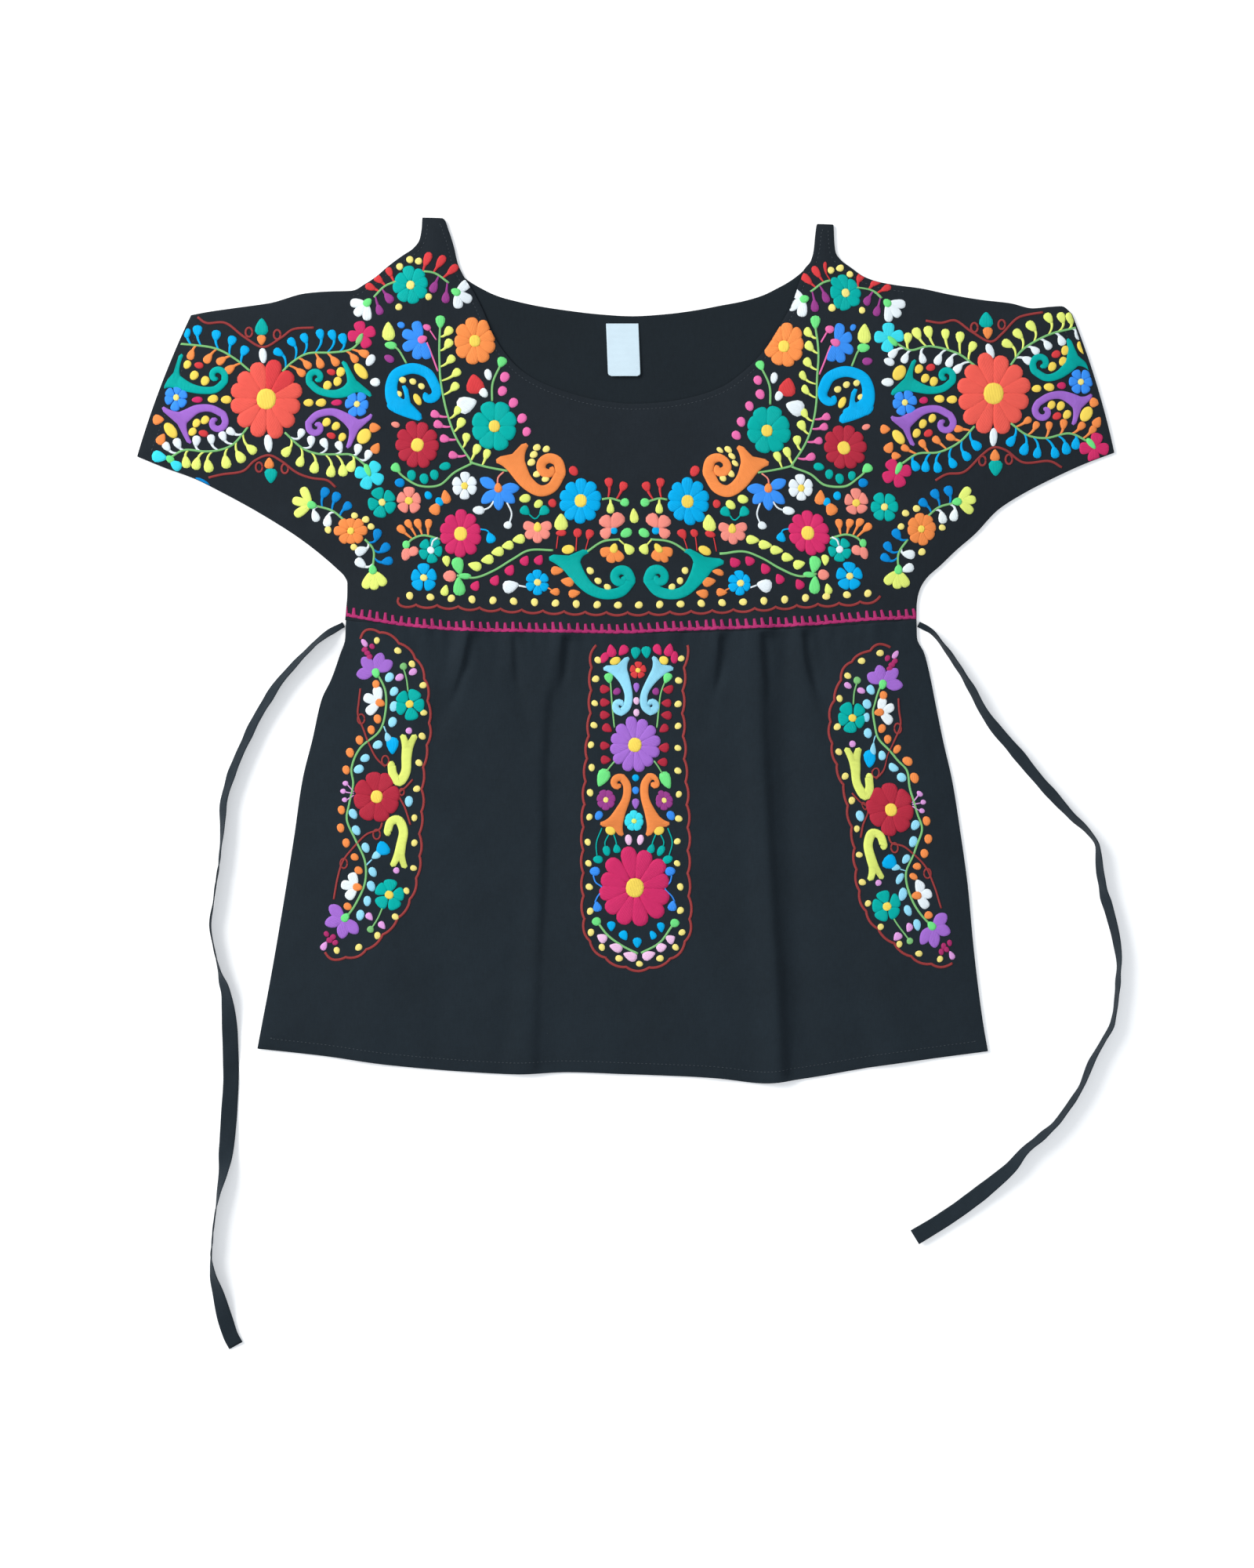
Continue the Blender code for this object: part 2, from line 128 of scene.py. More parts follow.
# Height of each section of the skirt, and x of its left and right ends
SKIRT_SECTIONS = (
    (23.5, -217.5, 227), (9.5, -218, 227.3), (-3, -222, 233), (-23, -229, 238), (-38, -236, 241),
    (-70, -243.5, 247.5), (-103, -251.5, 255), (-144, -257.5, 261.5), (-182, -263.5, 266.8),
    (-231, -271.7, 271.5), (-261, -277, 275), (-290, -282.5, 279), (-311, -286.4, 282.7),
)
# The hem's places
HEM = (
    (-287, -310), (-233, -316), (-183, -323), (-126, -328), (-84, -330), (-46, -328.5), (1.5, -330),
    (70, -333), (108, -337), (135, -334), (192, -324.5), (245.5, -317), (283.5, -312),
)

# Folds run through three points. Then come the height, half the width, the lean, which makes the right side
# steeper, and the shares of the height at the start and the finish.
FOLDS = (
    (-124, 16, -131, -16, -152, -60, 3.2, 9, 0.9, 1, 0), (-88, 16, -89, -8, -93, -32, 1.5, 8, 0.4, 1, 0),
    (-50, 14, -54, -20, -67, -58, 2.6, 9, 0.8, 1, 0), (-62, -78, -64, -190, -79, -326, 2.4, 17, 0.5, 0, 1),
    (74, 15, 71, -18, 64, -62, 2.5, 9, -0.7, 1, 0), (108, 16, 114, -125, 125, -334, 4.2, 14, -1, 1, 0.85),
    (138, 17, 144, -20, 158, -66, 2.8, 9, -0.8, 1, 0), (60, -200, 66, -265, 75, -331, 1.6, 13, -0.4, 0, 1),
    (-157, 18, -160, 2, -168, -26, 1.8, 8, 0.5, 1, 0), (196, 20, 203, 0, 214, -34, 1.8, 9, -0.5, 1, 0),
    (34, 13, 33, -12, 30, -44, 1.4, 8, 0.3, 1, 0), (-178, -150, -190, -230, -206, -318, 1.8, 22, 0.3, 0, 1),
    (196, -160, 204, -240, 216, -320, 1.8, 22, -0.3, 0, 1),
    (-264, 101, -250, 92, -237, 83, 2.2, 8, 0.9, 0.6, 0.3),
    (-300, 225, -262, 160, -232, 98, 2, 24, 0.3, 0.2, 0.5),
    (272, 106, 256, 96, 243, 86, 2, 8, -0.8, 0.5, 0.3),
    (312, 232, 276, 168, 243, 104, 2, 24, -0.3, 0.2, 0.5),
    (-185, 268, -196, 190, -205, 96, 1.6, 20, 0.3, 0.4, 0.6),
    (192, 262, 203, 190, 213, 98, 1.6, 20, -0.3, 0.4, 0.6),
)

# Smaller creases of the looks alone, given in the same way. Troughs have a negative height.
FRONT_CREASES = (
    (-134, 14, -141, -18, -160, -74, -0.9, 5, 0.3, 1, 0),
    (-43, 12, -47, -22, -57, -70, -0.8, 4.5, 0.3, 1, 0), (-98, 12, -101, -14, -108, -52, -0.6, 4, 0, 1, 0),
    (84, 13, 82, -24, 77, -90, -0.9, 5, -0.3, 1, 0), (99, 12, 104, -110, 113, -326, -1, 6, 0.4, 0.9, 0.5),
    (123, 14, 130, -60, 141, -190, -0.7, 7, 0.2, 0.8, 0),
    (150, 15, 157, -24, 170, -84, -0.8, 5, -0.2, 1, 0),
    (-79, -120, -84, -210, -97, -324, -0.7, 8, 0.3, 0, 0.9),
    (-16, -190, -14, -255, -8, -327, 0.7, 12, 0.2, 0, 1),
    (-232, -20, -222, -70, -214, -130, 0.8, 10, -0.3, 0.6, 0),
    (241, -24, 231, -76, 224, -138, 0.7, 10, 0.3, 0.6, 0),
    (-135, -200, -141, -262, -150, -322, -0.6, 9, 0, 0, 1),
    (176, -210, 181, -262, 190, -321, -0.6, 9, 0, 0, 1),
    (-248, 96, -236, 108, -214, 132, -0.9, 5, 0.2, 1, 0),
    (-254, 108, -240, 126, -220, 160, 0.8, 6, 0.3, 0.8, 0),
    (252, 94, 243, 106, 224, 134, -0.9, 5, -0.2, 1, 0),
    (262, 112, 248, 130, 230, 166, 0.8, 6, -0.3, 0.8, 0),
    (-150, 318, -152, 296, -158, 262, 0.6, 5, 0.2, 0.5, 0.4),
    (156, 312, 157, 292, 164, 258, 0.6, 5, -0.2, 0.5, 0.4),
    (-60, 192, -22, 182, 14, 180, 0.5, 9, 0, 0.4, 0.4), (30, 168, 62, 176, 92, 200, -0.4, 9, 0, 0.4, 0.4),
    (-40, 120, -12, 150, 10, 172, 0.4, 14, 0, 0, 0.6),
    (-342, 190, -318, 200, -290, 204, -0.5, 8, 0, 0.6, 0),
    (348, 186, 322, 196, 294, 200, -0.5, 8, 0, 0.6, 0),
)
BACK_CREASES = (
    (-160, 14, -172, -30, -190, -96, 0.9, 9, 0.4, 1, 0),
    (-104, 14, -110, -24, -118, -70, 0.7, 8, -0.3, 1, 0), (-38, 12, -34, -40, -26, -120, 1, 10, 0.4, 1, 0),
    (22, 12, 26, -30, 36, -92, 0.6, 8, -0.4, 1, 0), (92, 14, 99, -60, 112, -210, 1.1, 12, 0.5, 1, 0.2),
    (150, 16, 160, -20, 176, -72, 0.8, 8, 0.3, 1, 0),
    (-120, -150, -128, -230, -140, -320, 1, 16, 0.3, 0, 0.9),
    (40, -170, 46, -250, 58, -324, 0.9, 15, -0.3, 0, 0.9),
    (190, -160, 200, -240, 214, -314, 0.9, 18, 0.2, 0, 0.8),
    (-300, 200, -262, 150, -234, 96, 0.9, 18, 0.3, 0.3, 0.5),
    (306, 206, 268, 154, 240, 100, 0.9, 18, -0.3, 0.3, 0.5),
    (-60, 230, -10, 190, 50, 120, 0.7, 22, 0.2, 0.3, 0), (90, 240, 60, 180, 20, 90, 0.6, 20, -0.2, 0.3, 0),
)

# Sharp pleats of the looks alone: depth, half widths at the left and right, then places with their shares of
# the depth
FRONT_PLEATS = (
    (2.8, 2, 5, ((-119, 12, 1), (-124, -12, 1), (-129, -26, 0.6), (-136, -44, 0))),
    (2, 9, 7, ((-129, -10, 0), (-134, -34, 1), (-146, -58, 0.8), (-158, -86, 0))),
    (1.7, 2, 4.5, ((-86, 11, 1), (-85, -12, 1), (-83, -30, 0))),
    (1.4, 8, 7, ((-86, 4, 0), (-82, -34, 1), (-76, -52, 0.7), (-70, -78, 0))),
    (2.8, 2, 5, ((-46, 12, 1), (-47, -2, 1), (-48, -18, 0.8), (-52, -34, 0))),
    (3.7, 5, 20, ((-46, 12, 0.4), (-51, -21, 0.6), (-56, -40, 0.8), (-59, -90, 0.8), (-59, -142, 1),
     (-60, -190, 1), (-63, -240, 0.6), (-66, -328, 0.5))),
    (2.8, 2, 5, ((76, 15, 1), (75, -4, 1), (73, -20, 0.8), (70, -36, 0))),
    (1.6, 8, 6, ((74, 0, 0), (70, -26, 1), (66, -44, 0.7), (61, -70, 0))),
    (2.6, 2, 5, ((108, 15, 1), (109, -6, 1), (111, -28, 0.7), (112, -50, 0))),
    (2.8, 2, 5, ((140, 15, 1), (142, -6, 1), (146, -22, 0.7), (151, -38, 0))),
    (1.8, 6, 8, ((142, 0, 0), (148, -26, 1), (155, -46, 0.8), (164, -74, 0))),
    (4.2, 5.5, 22, ((108, 15, 0.4), (111, -24, 0.6), (113, -71, 1), (116, -118, 1), (119, -166, 1),
     (122, -213, 1), (126, -261, 1), (129, -333, 0.95))),
    (1.2, 9, 16, ((56, -230, 0), (64, -280, 0.8), (68, -331, 1))),
    (1, 5, 9, ((-158, 16, 1), (-163, -10, 0.8), (-172, -44, 0))),
    (1, 5, 9, ((197, 18, 1), (204, -8, 0.8), (212, -40, 0))),
)

# Tucks of the gathered waist: place along the seam, how far down each runs, depth, half width and slant
FRONT_TUCKS = (
    (-209, 24, 0.5, 3.6, 0.2), (-194, 40, 0.7, 3, 0.16), (-181, 22, 0.5, 2.6, 0.14),
    (-168, 52, 0.8, 3.4, 0.16), (-149, 30, 0.6, 2.8, 0.12), (-139, 46, 0.6, 2.6, 0.14),
    (-114, 38, 0.7, 3.2, 0.1), (-104, 20, 0.5, 2.4, 0.08), (-79, 44, 0.7, 3, 0.08),
    (-69, 26, 0.6, 2.6, 0.06), (-60, 34, 0.6, 2.8, 0.06), (-33, 28, 0.6, 3, 0.03),
    (-21, 40, 0.5, 2.6, 0.02), (-6, 22, 0.4, 2.8, 0), (12, 34, 0.5, 3, -0.01), (24, 20, 0.5, 2.4, -0.02),
    (46, 42, 0.7, 3, -0.04), (58, 24, 0.5, 2.6, -0.05), (66, 36, 0.6, 2.6, -0.06),
    (92, 48, 0.8, 3.2, -0.02), (117, 30, 0.6, 2.8, -0.1), (128, 54, 0.7, 3, -0.12),
    (152, 26, 0.5, 2.6, -0.12), (165, 44, 0.7, 3.2, -0.16), (179, 22, 0.5, 2.6, -0.14),
    (189, 36, 0.6, 2.8, -0.18), (212, 28, 0.6, 3.4, -0.2),
)

# Fine unevenness of worn cotton: wavelength, direction in degrees, height and phase
RIPPLES = (
    (61, 12, 0.2, 0.4), (43, 97, 0.15, 2.1), (29, 58, 0.1, 4), (19, 141, 0.06, 1.2), (13, 22, 0.04, 5.1),
    (9.5, 101, 0.03, 3.3),
)

# The ties' routes from the side seams to their free ends: x, y and the turn of the ribbon in degrees
LEFT_TIE = (
    (-219.2, 20.2, 8), (-225.6, 16.6, 30), (-233.3, 11.8, 60), (-248, -1.6, 66), (-259.6, -13.8, 60),
    (-270.5, -26.7, 55), (-277.9, -38.2, 52), (-287.6, -54.7, 50), (-294.9, -70, 52), (-302.3, -86.4, 54),
    (-309, -105.3, 54), (-312.6, -121.8, 58), (-313.2, -138.9, 66), (-314.4, -153.5, 78),
    (-316.9, -174.3, 83), (-319.9, -195, 86), (-322.4, -213.3, 86), (-319.9, -230.4, 84),
    (-315.7, -248.1, 72), (-309.6, -272.5, 34), (-307.7, -301.2, 8), (-307.1, -331.7, 0),
    (-308.4, -357.9, 2), (-310.2, -384.1, 14), (-312.6, -405.5, 44), (-316.3, -423.2, 74),
    (-318.7, -438.4, 84), (-320.6, -455.5, 85), (-321.8, -468.9, 80), (-320.6, -484.2, 62),
    (-316.3, -501.2, 34), (-312, -518.9, 14), (-307.1, -534.2, 6), (-303.2, -541.4, 6),
)
RIGHT_TIE = (
    (228.6, 20.4, 8), (232.8, 18.2, 32), (238.2, 14.8, 66), (246.7, 4.5, 82), (257.1, -10.2, 76),
    (269.9, -30.9, 70), (277.9, -46.2, 64), (288.2, -60.8, 56), (303.5, -78.5, 50), (319.9, -98.6, 54),
    (334.6, -115.1, 56), (347.4, -129.1, 68), (360.2, -141.3, 78), (367.5, -152.9, 82), (368.7, -167.6, 72),
    (372.4, -188.9, 66), (377.9, -207.8, 62), (382.2, -226.7, 70), (384, -243.2, 80), (382.8, -262.1, 85),
    (379.1, -289.6, 84), (372.4, -302.4, 83), (362.6, -320, 80), (354.1, -340.2, 80), (343.7, -356.1, 79),
    (334.6, -368.2, 77), (322.4, -379.2, 74), (310.8, -389, 66), (300.4, -401.8, 52), (287.6, -413.4, 36),
    (271.7, -426.2, 28), (257.7, -436.6, 22), (243.1, -446.3, 20), (225.6, -456.9, 18),
)


# Sizes and colours that a user would change


def linear(red, green, blue):
    """Scene colour of a screen colour given as 0 to 255."""
    share = np.array([red, green, blue], float) / 255
    return tuple(np.where(share <= 0.04045, share / 12.92, ((share + 0.055) / 1.055) ** 2.4))


THREADS = {
    "coral": (242, 98, 86),
    "scarlet": (218, 66, 70),
    "crimson": (184, 48, 68),
    "rust": (156, 64, 64),
    "orange": (250, 148, 80),
    "salmon": (250, 150, 136),
    "yellow": (254, 224, 96),
    "straw": (252, 238, 138),
    "lime": (234, 250, 126),
    "leaf": (116, 234, 136),
    "vine": (132, 200, 126),
    "teal": (4, 178, 170),
    "sky": (4, 178, 242),
    "royal": (60, 148, 248),
    "deep": (8, 140, 218),
    "cyan": (64, 228, 246),
    "pale_sky": (154, 228, 254),
    "purple": (166, 112, 212),
    "plum": (156, 66, 144),
    "cerise": (214, 50, 108),
    "pink": (240, 116, 180),
    "blush": (248, 204, 240),
    "orchid": (228, 164, 230),
    "magenta": (178, 52, 112),
    "white": (238, 250, 255),
}

# Shares of red, green and blue for some panels: the front yoke is a little less green and blue, and the back
# yoke is darker all over, which is painted shade where it shows under the front's openings
PANEL_TINT_AND_PAINTED_SHADE = {"front_yoke_cloth": (1.0, 0.88, 0.86), "back_yoke_cloth": (0.80, 0.78, 0.76)}


def size_property(name, description, default, low, high):
    return FloatProperty(
        name=name, description=description, default=default, min=low, max=high, unit="LENGTH"
    )


def colour_property(name, description, default):
    return FloatVectorProperty(
        name=name, description=description, default=default, min=0.0, max=1.0, subtype="COLOR"
    )


class ClothSettings(bpy.types.PropertyGroup):
    shell: size_property("Cloth thickness", "Thickness of a layer away from its hems", 0.0008, 0.0004, 0.0012)
    crease_share: FloatProperty(
        name="Creases",
        description="Share of their depth that the small creases have",
        default=1.0,
        min=0.0,
        max=1.5,
        subtype="FACTOR",
    )
    colour: colour_property("Cloth colour", "Colour of the cotton", linear(27, 36, 43))
    tape_colour: colour_property("Label colour", "Colour of the blank neck label", linear(210, 231, 243))


class StitchSettings(bpy.types.PropertyGroup):
    """Height of the embroidery, and one colour for each thread."""

    __annotations__ = {
        "pad": size_property("Stitch height", "Height of a large stitched petal", 0.0011, 0.0005, 0.003),
        **{
            name: colour_property(
                name.replace("_", " ").capitalize() + " thread",
                f"Colour of the {name.replace('_', ' ')} thread",
                linear(*shade),
            )
            for name, shade in THREADS.items()
        },
    }


class StageSettings(bpy.types.PropertyGroup):
    height: size_property("Camera height", "Height of the camera above the cloth", 2.2, 0.8, 6.0)
    floor_colour: colour_property("Floor colour", "Colour of the plain surface", (0.93, 0.93, 0.93))


# The lie of the cloth


def bell(share):
    """e to the power of minus the share's square."""
    return np.exp(-(share**2))


def ease(share):
    """A rise from 0 to 1 that starts and ends level: 3 s^2 - 2 s^3."""
    return share * share * (3 - 2 * share)


def running(lengths):
    """Distance along a line at each of its points, from the lengths between them."""
    return np.concatenate([[0], np.cumsum(lengths)])


def waist(x):
    """Height of the waist seam: a parabola, lowest at the middle."""
    return WAIST_LOW + WAIST_RISE * (x / WAIST_HALF) ** 2


def slopes(t, v):
    """Slopes that carry a smooth curve through points and never past them: weighted harmonic means."""
    h = np.diff(t)
    d = np.diff(v) / h
    inner = np.zeros(len(v))
    same = d[:-1] * d[1:] > 0
    w0 = 2 * h[1:] + h[:-1]
    w1 = h[1:] + 2 * h[:-1]
    mean = (w0 + w1) / (w0 / np.where(same, d[:-1], 1) + w1 / np.where(same, d[1:], 1))
    inner[1:-1] = np.where(same, mean, 0)
    inner[0] = d[0]
    inner[-1] = d[-1]
    return inner


def smooth(t, v, at):
    """The smooth curve through (t, v), read at the places asked for: a cubic between each two points."""
    m = slopes(t, v)
    i = np.clip(np.searchsorted(t, at, side="right") - 1, 0, len(t) - 2)
    h = t[i + 1] - t[i]
    s = (at - t[i]) / h
    rise = (1 + 2 * s) * (1 - s) ** 2 * v[i] + s * s * (3 - 2 * s) * v[i + 1]
    return rise + h * s * (1 - s) * ((1 - s) * m[i] - s * m[i + 1])


def yoke_edges(side, steps):
    """Ends of the yoke's sections at its front or back, below and above, this many steps to a row."""
    body = [(row[0], None, row[0], row[1], row[-1]) for row in YOKE_BODY]
    arms = [[row + row[-1:] for row in arm] for arm in (LEFT_ARM, RIGHT_ARM)]
    foot_x, listed, top_x, front_y, back_y = np.array(arms[0] + body + arms[1], float).T
    rows = np.arange(len(foot_x), dtype=float)
    fine = np.linspace(0, rows[-1], (len(rows) - 1) * steps + 1)
    foot_y = np.where(np.isnan(listed), waist(foot_x), listed)
    x0 = smooth(rows, foot_x, fine)
    y0 = smooth(rows, np.maximum(foot_y, waist(foot_x) + WAIST_GAP / 2), fine)
    on_waist = np.interp(fine, rows, np.isnan(listed).astype(float)) == 1
    y0 = np.where(on_waist, waist(x0) + WAIST_GAP / 2, y0)
    top_y = {"front": front_y, "back": back_y}[side]
    return x0, y0, smooth(rows, top_x, fine), smooth(rows, top_y, fine)


def rim_shares(length, count):
    """Shares along lines of these lengths: even inside, with extra ones close to both ends."""
    near = np.array((0.0,) + RIM_LINES)[None, :] / length[:, None]
    even = np.linspace(0, 1, count)[None, :]
    inner = near[:, -1:] + (1 - 2 * near[:, -1:]) * even
    return np.concatenate([near[:, :-1], inner, 1 - near[:, -2::-1]], axis=1)


def yoke_plan(side, steps, across):
    """Plan of a yoke panel. Its sections are straight. At share s of a cuff it bows out by 4 s (1 - s)."""
    x0, y0, x1, y1 = yoke_edges(side, steps)
    share = rim_shares(np.hypot(x1 - x0, y1 - y0), across)
    x = x0[:, None] + (x1 - x0)[:, None] * share
    y = y0[:, None] + (y1 - y0)[:, None] * share
    place = np.linspace(-1, 1, len(x0))[:, None]
    at_cuff = np.clip((abs(place) - 1) / CUFF_SHARE + 1, 0, 1)
    return x + CUFF_BOW * 4 * share * (1 - share) * np.sign(place) * at_cuff, y


def skirt_plan(across, down_share):
    """Plan of a skirt panel: sections between its sides that bend from the waist's curve to the hem's."""
    height, left_x, right_x = np.array(SKIRT_SECTIONS, float).T
    down = (height[0] - height) / (height[0] - height[-1])
    left = smooth(down, left_x, down_share)[:, None]
    right = smooth(down, right_x, down_share)[:, None]
    x = left + (right - left) * across
    y = (1 - down_share[:, None]) * (waist(x) - WAIST_GAP / 2)
    return x, y + down_share[:, None] * smooth(*np.array(HEM, float).T, x)


def fine_skirt_plan(columns, rows):
    """A skirt panel's plan on a fine grid, with extra lines near its rim and rows drawn up a little."""
    height, left_x, right_x = np.array(SKIRT_SECTIONS, float).T
    down = rim_shares(np.array([height[0] - height[-1]]), rows)[0]
    drawn = np.sin(np.pi * down) * SKIRT_DRAWN_UP
    across = rim_shares(np.array([(right_x - left_x).mean()]), columns)
    return skirt_plan(across, down - drawn * down * (1 - down))


def front_edges():
    """The front's outline: where each stretch starts and ends, and whether it is sewn, hemmed or bound."""
    x0, y0, x1, y1 = yoke_edges("front", OUTLINE_STEPS)
    columns, rows = OUTLINE_GRID
    x, y = skirt_plan(np.linspace(0, 1, columns)[None, :], np.linspace(0, 1, rows) ** SKIRT_CROWDING)
    arm = y0 > waist(x0) + SEAM_GAP
    left = arm & (x0 < 0)
    right = arm & (x0 > 0)
    top = x1[::-1]
    bound = np.zeros(len(top), bool)
    for start, end in OPEN_TOPS:
        bound |= (top > start) & (top < end)
    runs = (
        (x0[left], y0[left], "sewn"),
        (x[:, 0], y[:, 0], "sewn"),
        (x[-1], y[-1], "hemmed"),
        (x[::-1, -1], y[::-1, -1], "sewn"),
        (x0[right], y0[right], "sewn"),
        (top, y1[::-1], "sewn"),
    )
    ax, ay = (np.concatenate([run[k] for run in runs]) for k in range(2))
    kind = np.concatenate([np.full(len(run[0]), run[2], dtype=object) for run in runs])
    kind[-len(top):][bound] = "bound"
    kind[-len(top) - 1] = "hemmed"
    kind[-1] = "hemmed"
    return ax, ay, np.roll(ax, -1), np.roll(ay, -1), kind


def in_parts(measure, x, y):
    """What measure gives for each point of a grid, for a part of the points at a time."""
    split = (np.array_split(places.reshape(-1, 1), PARTS) for places in (x, y))
    return np.concatenate([measure(px, py) for px, py in zip(*split)]).reshape(x.shape)


def from_lines(x, y, ax, ay, bx, by):
    """Distance in the plan from each point to the nearest of some straight stretches."""
    run_x, run_y = bx - ax, by - ay
    long2 = np.maximum(run_x**2 + run_y**2, 1e-9)

    def nearest(px, py):
        along = np.clip(((px - ax) * run_x + (py - ay) * run_y) / long2, 0, 1)
        return np.hypot(px - ax - along * run_x, py - ay - along * run_y).min(axis=1)

    return in_parts(nearest, x, y)


def within(x, y, ax, ay, bx, by):
    """Whether each point is inside a closed line: it crosses a ray from the point an odd number of times."""
    level = np.where(by == ay, 1, by - ay)

    def odd(px, py):
        spans = (ay > py) != (by > py)
        return (spans & (px < (bx - ax) * (py - ay) / level + ax)).sum(axis=1) % 2 == 1

    return in_parts(odd, x, y)


def beside(x, y, knots):
    """Where points are beside a line of straight stretches: their distance to it, how far they are to its
    right as it runs down the sheet, and the place along it: the stretch's number and the share of it."""
    nearest = np.full(x.shape, np.inf)
    side = np.zeros(x.shape)
    along = np.zeros(x.shape)
    for i, (a, b) in enumerate(zip(knots[:-1], knots[1:])):
        run = b - a
        t = np.clip(((x - a[0]) * run[0] + (y - a[1]) * run[1]) / (run @ run), 0, 1)
        dx = x - a[0] - t * run[0]
        dy = y - a[1] - t * run[1]
        gap = np.hypot(dx, dy)
        closer = gap < nearest
        right = (dx * -run[1] + dy * run[0]) * np.sign(-run[1]) / np.hypot(*run)
        side = np.where(closer, right, side)
        along = np.where(closer, i + t, along)
        nearest = np.minimum(nearest, gap)
    return nearest, side, along


def fold_height(x, y, table):
    """Sum of folds on lines bent at their middles. At distance d from its line, each is a bell of d / half,
    leant to one side: times 1 + lean d / half on its right and 1 - lean d / half on its left."""
    total = np.zeros(x.shape)
    for x0, y0, x1, y1, x2, y2, height, half, lean, start, finish in table:
        gap, side, along = beside(x, y, np.array([[x0, y0], [x1, y1], [x2, y2]], float))
        share = ease(start + (finish - start) * along / 2)
        total += height * share * bell(gap / half) * (1 + lean * side / half)
    return total


def pleat_height(x, y):
    """Sum of pleats. Each is a trough whose two sides are halves of bells with widths of their own."""
    total = np.zeros(x.shape)
    for depth, left, right, places in FRONT_PLEATS:
        places = np.array(places, float)
        gap, side, along = beside(x, y, places[:, :2])
        share = np.interp(along, np.arange(len(places)), places[:, 2])
        total -= depth * share * bell(gap / np.where(side < 0, left, right))
    return total


def tuck_height(x, y):
    """Sum of the waist's tucks: narrow troughs that start at the seam and widen and run out below it. A
    trough's depth falls as what is left of its run to the power 1.4."""
    total = np.zeros(x.shape)
    below = waist(x) - y
    for place, run, depth, half, slant in FRONT_TUCKS:
        off = x - place - slant * below
        left = np.clip(1 - below / run, 0, 1) * (below > -SEAM_GAP)
        wide = half * (1 + below / run)
        total -= depth * left**1.4 * bell(off / np.maximum(wide, 1.0))
    return total


def ripple_height(x, y):
    """Sum of long soft waves, each bent by a slower one, so that no two places look alike."""
    total = np.zeros(x.shape)
    for long, way, height, phase in RIPPLES:
        way = np.radians(way)
        along = x * np.cos(way) + y * np.sin(way)
        bent = 1.3 * np.sin((y * np.cos(way) - x * np.sin(way)) / (1.7 * long) + 2 * phase)
        total += height * np.sin(2 * np.pi * along / long + phase + bent)
    return total


